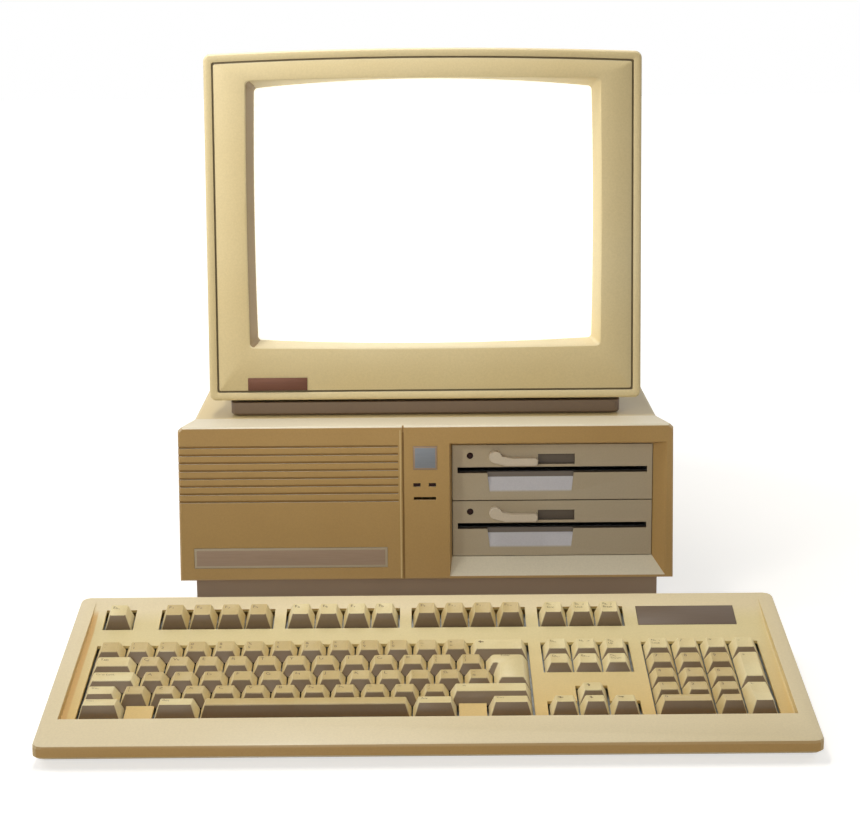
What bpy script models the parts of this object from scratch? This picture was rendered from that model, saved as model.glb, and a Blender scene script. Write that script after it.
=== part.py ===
"""Desktop computer of the late 1980s, modelled as its separate pieces.

A flat system unit stands on the desk, a tube monitor stands on its lid, and a keyboard lies in front of it.
Lengths are metres, +Z is up and the fronts face -Y. The origin is on the desk, under the middle of the set.
"""

import math

import bmesh
import bpy
from mathutils import Matrix, Vector

# Clearances that every unit shares
GAP = 0.0003
RUNNING_GAP = 0.0004
OVERRUN = 0.002

# Layout on the desk
KEYBOARD_WIDTH = 0.480
KEYBOARD_DEPTH = 0.195
KEYBOARD_TO_UNIT = 0.102
UNIT_DEPTH = 0.390

# System unit: outer sizes
LID_WIDTH = 0.350
FRONT_OVERHANG = 0.008
UNIT_FOOT_HEIGHT = 0.008
UNIT_FRONT_BOTTOM = 0.024
UNIT_TOP = 0.142
FRONT_DEPTH = 0.028
FRONT_CORNER_CUT = 0.0025
FRONT_FLARE = 0.0015
FRONT_EDGE = 0.0012
FRONT_WALL = 0.003
SHEET = 0.0012
LID_EDGE_RADIUS = 0.005
LID_SKIRT_BOTTOM = 0.010
TRAY_FLANGE_HEIGHT = 0.030
REAR_RECESS = 0.006
UNIT_FOOT_RADIUS = 0.009
UNIT_FOOT_INSET = 0.025
SIDE_VENT_COUNT = 10
SIDE_VENT_PITCH = 0.008
SIDE_VENT_WIDTH = 0.003
SIDE_VENT_LENGTH = 0.030

# System unit: louvres, panel joint, recesses and lamp windows of the front
LOUVRE_COUNT = 8
LOUVRE_PITCH = 0.00594
LOUVRE_TOP = 0.1267
LOUVRE_WIDTH = 0.0018
LOUVRE_DEPTH = 0.0016
LOUVRE_TO_JOINT = 0.0037
JOINT_TO_BAY = 0.0343
JOINT_WIDTH = 0.0014
NAME_STRIP_TO_SIDE = 0.0092
NAME_STRIP_TO_JOINT = 0.0120
NAME_STRIP_Z = 0.0415
NAME_STRIP_HEIGHT = 0.0158
SQUARE_PLATE_TO_BAY = 0.0180
SQUARE_PLATE_Z = 0.1175
SQUARE_PLATE_SIZE = 0.0182
RECESS_DEPTH = 0.0006
LAMP_Z = 0.0969
LAMP_WIDTH = 0.0048
LAMP_HEIGHT = 0.0022
LAMP_LENGTH = 0.006
POWER_LAMP_TO_BAY = 0.0242
DISK_LAMP_TO_BAY = 0.0127
SLIT_TO_BAY = 0.0183
SLIT_Z = 0.0865
SLIT_WIDTH = 0.0165

# Drive bay and drives
BAY_TO_SIDE = 0.0046
BAY_BOTTOM = 0.0262
BAY_TOP = 0.1285
BAY_RECESS = 0.010
DRIVE_WIDTH = 0.1492
DRIVE_LEFT_SPACE = 0.0023
DRIVE_RIGHT_SPACE = 0.0094
DRIVE_HEIGHT = 0.0424
DRIVE_PITCH = 0.0432
LOWER_DRIVE_BOTTOM = 0.0390
BEZEL_THICKNESS = 0.006
BAY_MARGIN = 0.0005
BAY_BLOCK_DEPTH = 0.0150
SLOT_END = 0.0038
SLOT_HEIGHT = 0.0046
SLOT_BOTTOM = 0.0208
SCOOP_CENTRE = 0.0584
SCOOP_WIDTH = 0.0650
SCOOP_TAPER = 0.0030
SCOOP_BOTTOM = 0.0056
SCOOP_DEPTH = 0.0040
POCKET_START = 0.0639
POCKET_WIDTH = 0.0274
POCKET_BOTTOM = 0.0262
POCKET_TOP = 0.0352
POCKET_DEPTH = 0.0035
LEVER_PLACE = 0.0318
LEVER_HEIGHT = 0.0339
LEVER_HEAD_RADIUS = 0.0046
LEVER_LENGTH = 0.0320
LEVER_NECK = 0.0060
LEVER_BAR_START = 0.0090
LEVER_BAR_DROP = 0.0038
LEVER_BAR_WIDTH = 0.0058
LEVER_THICKNESS = 0.0048
LEVER_SHAFT_RADIUS = 0.0022
DRIVE_LAMP_PLACE = 0.0132
DRIVE_LAMP_HEIGHT = 0.0342
DRIVE_LAMP_RADIUS = 0.0022
DRIVE_BODY_INSET = 0.0016
DRIVE_BODY_HEIGHT = 0.0410
DRIVE_BODY_LENGTH = 0.195
DRIVE_WALL = 0.0022
CAGE_FLOOR_TOP = 0.0380

# Inside and back of the system unit
STANDOFF_HEIGHT = 0.006
BOARD_THICKNESS = 0.0016
BOARD_TO_WALL = 0.0085
BOARD_TO_SUPPLY = 0.0130
MAIN_BOARD_LENGTH = 0.300
SUPPLY_WIDTH = 0.1440
SUPPLY_TO_WALL = 0.0025
SUPPLY_LENGTH = 0.135
SUPPLY_TOP = 0.128
FAN_TO_SUPPLY_SIDE = 0.0990
FAN_Z = 0.0700
FAN_RADIUS = 0.0340
FAN_HUB_RADIUS = 0.0130
FAN_DEPTH = 0.0200
FAN_BLADES = 7
GRILLE_RADIUS = 0.0365
GRILLE_HUB_RADIUS = 0.0120
GRILLE_SECTORS = 8
GRILLE_SPOKE = 0.0030
GRILLE_RING_RADIUS = 0.0245
FAN_TO_GRILLE = 0.0040
CONTROLS_TO_SUPPLY_SIDE = 0.0270
INLET_Z = 0.0400
SWITCH_Z = 0.0900
PORT_Z = 0.0285
# Places along the board's width, from its left
KEYBOARD_SOCKET_SHARE = 0.933
SERIAL_PORT_SHARE = 0.687
PARALLEL_PORT_SHARE = 0.240
CARD_SHARE = 0.520
CARD_LENGTH = 0.170
CARD_HEIGHT = 0.088
CARD_BOTTOM = 0.0270
SLOT_PITCH = 0.02032
SLOT_TO_BOARD_EDGE = 0.0105
SLOT_SOCKET_WIDTH = 0.009
SLOT_SOCKET_LENGTH = 0.086
SLOT_SOCKET_HEIGHT = 0.0085
STANDOFF_RADIUS = 0.0035
CHIP_HEIGHT = 0.0045
BRACKET_WIDTH = 0.0180
BRACKET_BOTTOM = 0.0400
BRACKET_TOP = 0.1280
PORT_HEIGHT = 0.0110
PORT_SLANT = 0.0020
PORT_FLANGE_HEIGHT = 0.0125
PORT_FLANGE_MARGIN = 0.0070
SERIAL_WIDTH = 0.0190
PARALLEL_WIDTH = 0.0410
KEYBOARD_SOCKET_RADIUS = 0.0085
# Chips: place across, place along, width and length, each as a share of the board
MAIN_BOARD_CHIP_SHARES = (
    (0.16, 0.14, 0.24, 0.10), (0.46, 0.13, 0.18, 0.10), (0.74, 0.14, 0.20, 0.09),
    (0.18, 0.30, 0.26, 0.05), (0.18, 0.38, 0.26, 0.05), (0.55, 0.32, 0.20, 0.12),
    (0.82, 0.34, 0.14, 0.14), (0.84, 0.60, 0.12, 0.10),
)

# Small controls shared by the two mains powered units
INLET_WIDTH = 0.0270
INLET_HEIGHT = 0.0200
INLET_DEPTH = 0.0180
INLET_FLANGE = 0.0020
INLET_RIM = 0.0025
ROCKER_WIDTH = 0.0120
ROCKER_RADIUS = 0.0100
ROCKER_BACK = 0.0040
ROCKER_WALL = 0.0020
ROCKER_PIN_RADIUS = 0.0012
ROCKER_PIN_LENGTH = 0.0012
ROCKER_HALF_SWING = math.radians(8)
ROCKER_FACE_ANGLE = math.radians(10)

# Monitor: place and front
MONITOR_SETBACK = 0.030
MONITOR_BOTTOM = 0.1555
MONITOR_RAKE = math.radians(5)
MONITOR_WIDTH = 0.324
MONITOR_HEIGHT = 0.2575
MONITOR_CROWN = 0.0035
MONITOR_CORNER = 0.0050
MONITOR_FRONT_DEPTH = 0.024
MONITOR_EDGE = 0.0014
FRAME_LINE_INSET = 0.0062
FRAME_LINE_WIDTH = 0.0014
FRAME_LINE_DEPTH = 0.0016
SCREEN_CENTRE_Z = 0.1395
OPENING_HALF_WIDTH = 0.1312
OPENING_HALF_HEIGHT = 0.0975
OPENING_SIDE_BOW = 0.0008
OPENING_END_BOW = 0.0040
OPENING_CORNER = 0.0060
SCREEN_HALF_WIDTH = 0.1245
SCREEN_HALF_HEIGHT = 0.0925
SCREEN_SIDE_BOW = 0.0022
SCREEN_END_BOW = 0.0062
SCREEN_CORNER = 0.0070
MONITOR_WALL = 0.0030
LIP_THICKNESS = 0.0020

# Monitor: tube, cabinet and what they carry
TUBE_APEX_Y = 0.0085
TUBE_FACE_RADIUS = 0.900
TUBE_MARGIN = 0.0065
TUBE_SKIRT_Y = 0.0460
FUNNEL_LENGTH = 0.150
FACE_GLASS = 0.010
FUNNEL_GLASS = 0.003
NECK_RADIUS = 0.0145
NECK_END_Y = 0.290
YOKE_RADIUS = 0.0430
YOKE_LENGTH = 0.045
NECK_BOARD_SIZE = 0.075
CABINET_LENGTH = 0.335
CABINET_WALL = 0.0025
CABINET_CORNER = 0.012
CABINET_REAR_HALF_WIDTH = 0.105
CABINET_REAR_TOP = 0.200
CABINET_STEP = 0.0030
# Cabinet sections: share of the length, then of the way from the front width to the rear, then of the top
CABINET_SHARES = (
    (0.0, 0.0, 0.0), (0.10, 0.02, 0.03), (0.24, 0.14, 0.12), (0.42, 0.45, 0.36), (0.58, 0.76, 0.66),
    (0.72, 0.93, 0.86), (1.0, 1.0, 1.0),
)
VENT_COUNT = 13
VENT_PITCH = 0.0100
VENT_WIDTH = 0.0040
VENT_LENGTH = 0.050
TOP_VENT_Y = 0.175
REAR_VENT_Z = 0.150
MONITOR_FOOT_WIDTH = 0.294
MONITOR_FOOT_LENGTH = 0.210
MONITOR_FOOT_SETBACK = 0.0065
MONITOR_FOOT_EDGE = 0.0030
CHASSIS_BOARD_LENGTH = 0.180
CHASSIS_BOARD_WIDTH = 0.190
RIB_HEIGHT = 0.0050
RIB_WIDTH = 0.0060
FLYBACK_SIZE = 0.042
FLYBACK_HEIGHT = 0.055
# Blocks on the monitor's board: place across, place along and size, each as a share of the board
CHASSIS_BOARD_PART_SHARES = ((-0.7, 0.2, 0.13), (-0.7, 0.55, 0.16), (-0.2, 0.25, 0.10), (0.1, 0.75, 0.12))
KNOB_RADIUS = 0.0080
KNOB_LENGTH = 0.0060
KNOB_SHAFT_RADIUS = 0.0030
KNOB_GROOVES = 12
MONITOR_CONTROL_Z = 0.0700
MONITOR_INLET_X = 0.070
MONITOR_SWITCH_X = 0.030
BRIGHTNESS_X = -0.005
CONTRAST_X = -0.033
VIDEO_SOCKET_X = -0.070

# Keyboard case
KEYBOARD_REAR_HEIGHT = 0.0455
KEYBOARD_FRONT_HEIGHT = 0.0145
KEYBOARD_CORNER = 0.0060
KEYBOARD_EDGE = 0.0022
KEYBOARD_WALL = 0.0025
PAD_HEIGHT = 0.0012
KEYBOARD_BASE_SLOPE = math.radians(4)
SPLIT_HEIGHT = 0.0060
BASE_INSET = 0.0008
BASE_FLOOR = 0.0018
WELL_SIDE_RIM = 0.0110
DECK_REAR_STRIP = 0.0080
DECK_TOP_RUN = 0.0350
DECK_TOP_SLOPE = math.radians(16)
DECK_MAIN_SLOPE = math.radians(9.5)
DECK_THICKNESS = 0.0022
ROWS_TO_RIM = 0.0069
PANEL_WIDTH = 0.0670
PANEL_LENGTH = 0.0225
PANEL_START = 0.0104

# Keys: the pitch is front to back, and the pitch across follows from the case's width
KEY_PITCH = 0.01905
KEYS_TO_SIDE = 0.02065
KEY_GAP = 0.00085
HOLE_MARGIN = 0.0008
KEY_TRAVEL = 0.0035
SKIRT_DEPTH = 0.0025
PLATE_CLEARANCE = 0.0005
PLATE_THICKNESS = 0.0015
CAP_SIDE_TAPER = 0.0029
CAP_FRONT_TAPER = 0.0026
CAP_REAR_TAPER = 0.0026
CAP_DISH = 0.0007
CAP_WALL = 0.0013
CAP_ROOF = 0.0012
STEM_SIZE = 0.0044
SWITCH_SIZE = 0.0100
SWITCH_SIDE_SPACE = 0.004525
TOP_ROW_START = 0.0138
TOP_HOLE_START = 0.0104
TOP_HOLE_MARGIN = 0.00095
MAIN_ROWS_START = 0.0199
BLOCK_GAP = 0.0098
TOP_ROW_HEIGHT = 0.0073
LOW_ROW_HEIGHT = 0.0040
SHIFT_ROW_HEIGHT = 0.0055
FRONT_ROW_HEIGHT = 0.0085
TOP_ROW_TILT = math.radians(2)
ROW_TILTS = [math.radians(angle) for angle in (2.5, -0.5, -2.5, -6.5, -11.5)]

# Keyboard feet
FLIP_FOOT_TO_SIDE = 0.055
FLIP_FOOT_WIDTH = 0.034
FLIP_FOOT_INSET = 0.0110
FLIP_FOOT_THICKNESS = 0.0040
FLIP_FOOT_LEAN = 0.0015
FLIP_BARREL_RADIUS = 0.0026
FLIP_PIN_RADIUS = 0.0014
FLIP_PIN_LENGTH = 0.0020
POCKET_HEIGHT = 0.0062
POCKET_LENGTH = 0.0250
POCKET_WALL = 0.0035
POCKET_REACH = 0.0060
PAD_WIDTH = 0.030
PAD_LENGTH = 0.010
PAD_SETBACK = 0.006

# Places that follow from the sizes above
KEYBOARD_FRONT_Y = -(KEYBOARD_DEPTH + KEYBOARD_TO_UNIT + UNIT_DEPTH) / 2
KEYBOARD_REAR_Y = KEYBOARD_FRONT_Y + KEYBOARD_DEPTH
UNIT_FRONT_Y = KEYBOARD_REAR_Y + KEYBOARD_TO_UNIT
UNIT_REAR_Y = UNIT_FRONT_Y + UNIT_DEPTH
REAR_PANEL_Y = UNIT_REAR_Y - REAR_RECESS
UNIT_WIDTH = LID_WIDTH + FRONT_OVERHANG * 2
TRAY_HALF_WIDTH = LID_WIDTH / 2 - SHEET - GAP
TRAY_BOTTOM = UNIT_FOOT_HEIGHT
TRAY_FLOOR = TRAY_BOTTOM + SHEET
BAY_RIGHT = UNIT_WIDTH / 2 - BAY_TO_SIDE
DRIVE_RIGHT = BAY_RIGHT - DRIVE_RIGHT_SPACE
DRIVE_LEFT = DRIVE_RIGHT - DRIVE_WIDTH
DRIVE_CENTRE_X = (DRIVE_LEFT + DRIVE_RIGHT) / 2
DRIVE_BODY_WIDTH = DRIVE_WIDTH - DRIVE_BODY_INSET * 2
BAY_LEFT = DRIVE_LEFT - DRIVE_LEFT_SPACE
SLOT_WIDTH = DRIVE_WIDTH - SLOT_END * 2
SCOOP_CENTRE_X = DRIVE_LEFT + SCOOP_CENTRE
POCKET_LEFT = DRIVE_LEFT + POCKET_START
POCKET_RIGHT = POCKET_LEFT + POCKET_WIDTH
LEVER_X = DRIVE_LEFT + LEVER_PLACE
DRIVE_LAMP_X = DRIVE_LEFT + DRIVE_LAMP_PLACE
JOINT_X = BAY_LEFT - JOINT_TO_BAY
LOUVRE_END_X = JOINT_X - LOUVRE_TO_JOINT
NAME_STRIP_LEFT = NAME_STRIP_TO_SIDE - UNIT_WIDTH / 2
NAME_STRIP_RIGHT = JOINT_X - NAME_STRIP_TO_JOINT
SQUARE_PLATE_X = BAY_LEFT - SQUARE_PLATE_TO_BAY
POWER_LAMP_X = BAY_LEFT - POWER_LAMP_TO_BAY
DISK_LAMP_X = BAY_LEFT - DISK_LAMP_TO_BAY
SLIT_X = BAY_LEFT - SLIT_TO_BAY
SUPPLY_RIGHT = TRAY_HALF_WIDTH - SUPPLY_TO_WALL
SUPPLY_LEFT = SUPPLY_RIGHT - SUPPLY_WIDTH
FAN_X = SUPPLY_RIGHT - FAN_TO_SUPPLY_SIDE
INLET_X = SUPPLY_RIGHT - CONTROLS_TO_SUPPLY_SIDE
SWITCH_X = INLET_X
MAIN_BOARD_LEFT = BOARD_TO_WALL - TRAY_HALF_WIDTH
MAIN_BOARD_RIGHT = SUPPLY_LEFT - BOARD_TO_SUPPLY
MAIN_BOARD_WIDTH = MAIN_BOARD_RIGHT - MAIN_BOARD_LEFT
KEYBOARD_SOCKET_X = MAIN_BOARD_LEFT + MAIN_BOARD_WIDTH * KEYBOARD_SOCKET_SHARE
SERIAL_PORT_X = MAIN_BOARD_LEFT + MAIN_BOARD_WIDTH * SERIAL_PORT_SHARE
PARALLEL_PORT_X = MAIN_BOARD_LEFT + MAIN_BOARD_WIDTH * PARALLEL_PORT_SHARE
CARD_X = MAIN_BOARD_LEFT + MAIN_BOARD_WIDTH * CARD_SHARE
SLOT_COUNT = 1 + int((CARD_X - MAIN_BOARD_LEFT - SLOT_TO_BOARD_EDGE) / SLOT_PITCH)
FLIP_FOOT_X = KEYBOARD_WIDTH / 2 - FLIP_FOOT_TO_SIDE
DRIVE_FRONT_Y = UNIT_FRONT_Y + BAY_RECESS
DRIVE_BODY_Y = DRIVE_FRONT_Y + BEZEL_THICKNESS + GAP
DRIVES_TOP = LOWER_DRIVE_BOTTOM + DRIVE_PITCH + DRIVE_HEIGHT
MONITOR_FRONT_Y = UNIT_FRONT_Y + MONITOR_SETBACK
PLATE_DROP = SKIRT_DEPTH + KEY_TRAVEL + PLATE_CLEARANCE
ROUND = 24
SMALL_ROUND = 14

# Surface finishes: sRGB colour, roughness, metallic
FINISHES = {
    "tan_plastic": ("A8844E", 0.55, 0.0),
    "cream_plastic": ("DCCB98", 0.5, 0.0),
    "grey_plastic": ("A39578", 0.5, 0.0),
    "pale_plastic": ("E6DCC8", 0.45, 0.0),
    "dark_plastic": ("4A3A2C", 0.5, 0.0),
    "painted_steel": ("CDB98A", 0.45, 0.3),
    "dark_steel": ("5A4636", 0.5, 0.4),
    "zinc_steel": ("A9ABAD", 0.35, 0.9),
    "lamp_red": ("7A1C12", 0.25, 0.0),
    "circuit_board": ("2F5A34", 0.5, 0.0),
    "glass": ("E9EEF0", 0.08, 0.0),
    "copper": ("A8562C", 0.35, 0.8),
    "rubber": ("232120", 0.8, 0.0),
    "key_cream": ("E0D2A4", 0.5, 0.0),
    "key_tan": ("B79F6E", 0.5, 0.0),
}


def linear(value):
    """Turns one sRGB channel between 0 and 1 to linear light."""
    return value / 12.92 if value <= 0.04045 else ((value + 0.055) / 1.055) ** 2.4


def make_material(name, finish):
    """Makes the Principled material of one piece."""
    colour, roughness, metallic = FINISHES[finish]
    material = bpy.data.materials.new(name + "_finish")
    material.use_nodes = True
    shader = material.node_tree.nodes["Principled BSDF"]
    channels = [linear(int(colour[i:i + 2], 16) / 255) for i in (0, 2, 4)]
    shader.inputs["Base Color"].default_value = (*channels, 1.0)
    shader.inputs["Roughness"].default_value = roughness
    shader.inputs["Metallic"].default_value = metallic
    material.diffuse_color = (*channels, 1.0)
    return material


def make_piece(name, mesh_data, finish, origin=(0, 0, 0), parent=None, smooth=False):
    """Turns a bmesh into a named object whose origin is at the given point of its frame."""
    bmesh.ops.recalc_face_normals(mesh_data, faces=mesh_data.faces)
    mesh = bpy.data.meshes.new(name)
    mesh_data.to_mesh(mesh)
    mesh_data.free()
    mesh.transform(Matrix.Translation(-Vector(origin)))
    if smooth:
        mesh.shade_smooth()
        mesh.set_sharp_from_angle(angle=math.radians(35))
    piece = bpy.data.objects.new(name, mesh)
    piece.location = origin
    piece.parent = parent
    bpy.context.collection.objects.link(piece)
    if finish:
        mesh.materials.append(make_material(name, finish))
    return piece


def combine(piece, tool_mesh, operation, parent=None):
    """Adds a Boolean with a hidden tool that holds one or more closed shells."""
    tool = make_piece(f"{piece.name}_tool_{len(piece.modifiers)}", tool_mesh, None, parent=parent)
    tool.hide_render = True
    tool.display_type = "WIRE"
    modifier = piece.modifiers.new(operation.lower(), "BOOLEAN")
    modifier.operation = operation
    modifier.solver = "EXACT"
    modifier.object = tool


def cut(piece, tool_mesh, parent=None):
    combine(piece, tool_mesh, "DIFFERENCE", parent)


def fuse(piece, tool_mesh, parent=None):
    combine(piece, tool_mesh, "UNION", parent)


def spot(axis, along, across, up):
    """A point from its place along an axis and its two other coordinates in X, Y, Z order."""
    if axis == "X":
        return Vector((along, across, up))
    if axis == "Y":
        return Vector((across, along, up))
    return Vector((across, up, along))


def add_rings(mesh_data, rings, ring_of_rings=False):
    """Skins rings with equally many points, and closes the ends unless the last ring meets the first."""
    loops = [[mesh_data.verts.new(point) for point in ring] for ring in rings]
    pairs = list(zip(loops, loops[1:]))
    if ring_of_rings:
        pairs.append((loops[-1], loops[0]))
    else:
        mesh_data.faces.new(loops[0])
        mesh_data.faces.new(loops[-1])
    for near, far in pairs:
        for here in range(len(near)):
            there = (here + 1) % len(near)
            mesh_data.faces.new((near[here], near[there], far[there], far[here]))


def add_prism(mesh_data, outline, axis, start, end):
    """Extrudes an outline of two coordinates along an axis."""
    add_rings(mesh_data, [[spot(axis, place, a, b) for a, b in outline] for place in (start, end)])


def add_box(mesh_data, low, high):
    """Adds a box between two corners."""
    outline = [(low[0], low[1]), (high[0], low[1]), (high[0], high[1]), (low[0], high[1])]
    add_prism(mesh_data, outline, "Z", low[2], high[2])


def box_mesh(*boxes):
    """A bmesh of one or more boxes, each given by two corners."""
    mesh_data = bmesh.new()
    for low, high in boxes:
        add_box(mesh_data, low, high)
    return mesh_data


def circle(radius, sides, centre=(0, 0), start=0.0, sweep=math.tau):
    """Points round a circle or an arc, as two coordinates."""
    steps = sides if sweep >= math.tau else sides - 1
    return [
        (
            centre[0] + radius * math.cos(start + sweep * step / steps),
            centre[1] + radius * math.sin(start + sweep * step / steps),
        )
        for step in range(sides)
    ]


def add_turned(mesh_data, profile, axis, centre, sides):
    """Turns a profile of (place along the axis, radius) pairs round an axis through centre."""
    rings = []
    for along, radius in profile:
        rings.append([spot(axis, along, a, b) for a, b in circle(radius, sides, centre)])
    add_rings(mesh_data, rings)


def rounded_outline(left, right, bottom, top, corner, steps):
    """A rectangle with round corners, counted anticlockwise from its lower left corner."""
    points = []
    centres = (
        (left + corner, bottom + corner, 180),
        (right - corner, bottom + corner, 270),
        (right - corner, top - corner, 0),
        (left + corner, top - corner, 90),
    )
    for x, z, angle in centres:
        points += circle(corner, steps, (x, z), math.radians(angle), math.pi / 2)
    return points


def barrel_outline(half_width, half_height, side_bow, end_bow, corner, centre_z):
    """A screen outline: a rectangle with round corners whose four sides bow outwards."""
    corner_steps, long_steps, short_steps = 3, 6, 4
    points = []
    corners = ((-1, -1, 180), (1, -1, 270), (1, 1, 0), (-1, 1, 90))
    for index, (side, end, angle) in enumerate(corners):
        middle = (side * (half_width - corner), end * (half_height - corner))
        points += circle(corner, corner_steps, middle, math.radians(angle), math.pi / 2)
        long_side = index % 2 == 0
        steps = long_steps if long_side else short_steps
        for step in range(1, steps):
            share = 2 * step / steps - 1
            if long_side:
                points.append((-side * share * (half_width - corner), end * half_height))
            else:
                points.append((side * half_width, -end * share * (half_height - corner)))
    bowed = []
    for x, z in points:
        across, up = x / half_width, z / half_height
        bowed.append((
            x + side_bow * across * (1 - up * up),
            centre_z + z + end_bow * up * (1 - across * across),
        ))
    return bowed


def clear_scene():
    for piece in list(bpy.data.objects):
        bpy.data.objects.remove(piece)


# System unit

def fascia_outline(half_top, half_bottom, bottom, top, corner):
    """The front's outline, a little wider below, with its upper corners cut."""
    return [
        (-half_bottom, bottom), (half_bottom, bottom),
        (half_top, top - corner), (half_top - corner, top),
        (corner - half_top, top), (-half_top, top - corner),
    ]


def front_bezel():
    """The moulded front: louvres, panel joint, lamp windows and the sloping frame of the drive bay."""
    half = UNIT_WIDTH / 2
    rear_half = LID_WIDTH / 2 + GAP
    mesh_data = bmesh.new()
    rings = []
    for depth, inset, half_top, half_bottom in (
        (0, FRONT_EDGE, half, half + FRONT_FLARE),
        (FRONT_EDGE, 0, half, half + FRONT_FLARE),
        (FRONT_DEPTH, 0, rear_half, rear_half),
    ):
        outline = fascia_outline(half_top - inset, half_bottom - inset, UNIT_FRONT_BOTTOM + inset,
                                 UNIT_TOP - inset, FRONT_CORNER_CUT)
        rings.append([(x, UNIT_FRONT_Y + depth, z) for x, z in outline])
    add_rings(mesh_data, rings)
    bezel = make_piece("front_bezel", mesh_data, "tan_plastic")

    hollow = bmesh.new()
    inner_half = rear_half - FRONT_WALL
    bay_wall_x = BAY_LEFT - FRONT_WALL
    outline = [
        (-inner_half, UNIT_FRONT_Y + FRONT_WALL), (bay_wall_x, UNIT_FRONT_Y + FRONT_WALL),
        (bay_wall_x, UNIT_FRONT_Y + BAY_BLOCK_DEPTH), (inner_half, UNIT_FRONT_Y + BAY_BLOCK_DEPTH),
        (inner_half, UNIT_FRONT_Y + FRONT_DEPTH + OVERRUN),
        (-inner_half, UNIT_FRONT_Y + FRONT_DEPTH + OVERRUN),
    ]
    add_prism(hollow, outline, "Z", UNIT_FRONT_BOTTOM + FRONT_WALL, UNIT_TOP - FRONT_WALL)
    cut(bezel, hollow)

    bay = bmesh.new()
    deep = (DRIVE_LEFT - BAY_MARGIN, DRIVE_RIGHT + BAY_MARGIN, LOWER_DRIVE_BOTTOM - BAY_MARGIN,
            DRIVES_TOP + BAY_MARGIN)
    mouth = (BAY_LEFT, BAY_RIGHT, BAY_BOTTOM, BAY_TOP)
    reach = OVERRUN / BAY_RECESS
    outside = [m + (m - d) * reach for m, d in zip(mouth, deep)]
    rings = []
    for y, (left, right, bottom, top) in (
        (UNIT_FRONT_Y - OVERRUN, outside), (UNIT_FRONT_Y + BAY_RECESS, deep),
        (UNIT_FRONT_Y + BAY_BLOCK_DEPTH + OVERRUN, deep),
    ):
        rings.append([(left, y, bottom), (right, y, bottom), (right, y, top), (left, y, top)])
    add_rings(bay, rings)
    cut(bezel, bay)

    details = bmesh.new()
    outside_x = -half - FRONT_FLARE - OVERRUN
    for index in range(LOUVRE_COUNT):
        z = LOUVRE_TOP - index * LOUVRE_PITCH
        outline = [
            (UNIT_FRONT_Y - OVERRUN, z - LOUVRE_WIDTH / 2), (UNIT_FRONT_Y, z - LOUVRE_WIDTH / 2),
            (UNIT_FRONT_Y + LOUVRE_DEPTH, z - LOUVRE_WIDTH / 4),
            (UNIT_FRONT_Y + LOUVRE_DEPTH, z + LOUVRE_WIDTH / 4),
            (UNIT_FRONT_Y, z + LOUVRE_WIDTH / 2), (UNIT_FRONT_Y - OVERRUN, z + LOUVRE_WIDTH / 2),
        ]
        add_prism(details, outline, "X", outside_x, LOUVRE_END_X)
    y0 = UNIT_FRONT_Y - OVERRUN
    add_box(details, (JOINT_X - JOINT_WIDTH / 2, y0, UNIT_FRONT_BOTTOM - OVERRUN),
            (JOINT_X + JOINT_WIDTH / 2, UNIT_FRONT_Y + LOUVRE_DEPTH, UNIT_TOP + OVERRUN))
    y1 = UNIT_FRONT_Y + RECESS_DEPTH
    add_box(details, (NAME_STRIP_LEFT, y0, NAME_STRIP_Z - NAME_STRIP_HEIGHT / 2),
            (NAME_STRIP_RIGHT, y1, NAME_STRIP_Z + NAME_STRIP_HEIGHT / 2))
    half_plate = SQUARE_PLATE_SIZE / 2
    add_box(details, (SQUARE_PLATE_X - half_plate, y0, SQUARE_PLATE_Z - half_plate),
            (SQUARE_PLATE_X + half_plate, y1, SQUARE_PLATE_Z + half_plate))
    y2 = UNIT_FRONT_Y + FRONT_WALL + OVERRUN
    for x in (POWER_LAMP_X, DISK_LAMP_X):
        add_box(details, (x - LAMP_WIDTH / 2 - GAP, y0, LAMP_Z - LAMP_HEIGHT / 2 - GAP),
                (x + LAMP_WIDTH / 2 + GAP, y2, LAMP_Z + LAMP_HEIGHT / 2 + GAP))
    add_box(details, (SLIT_X - SLIT_WIDTH / 2, y0, SLIT_Z - LAMP_HEIGHT / 2),
            (SLIT_X + SLIT_WIDTH / 2, y2, SLIT_Z + LAMP_HEIGHT / 2))
    cut(bezel, details)


def lamp(name, x):
    """A light pipe in its window."""
    low = (x - LAMP_WIDTH / 2, UNIT_FRONT_Y + RECESS_DEPTH, LAMP_Z - LAMP_HEIGHT / 2)
    high = (x + LAMP_WIDTH / 2, UNIT_FRONT_Y + RECESS_DEPTH + LAMP_LENGTH, LAMP_Z + LAMP_HEIGHT / 2)
    make_piece(name, box_mesh((low, high)), "lamp_red")


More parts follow.
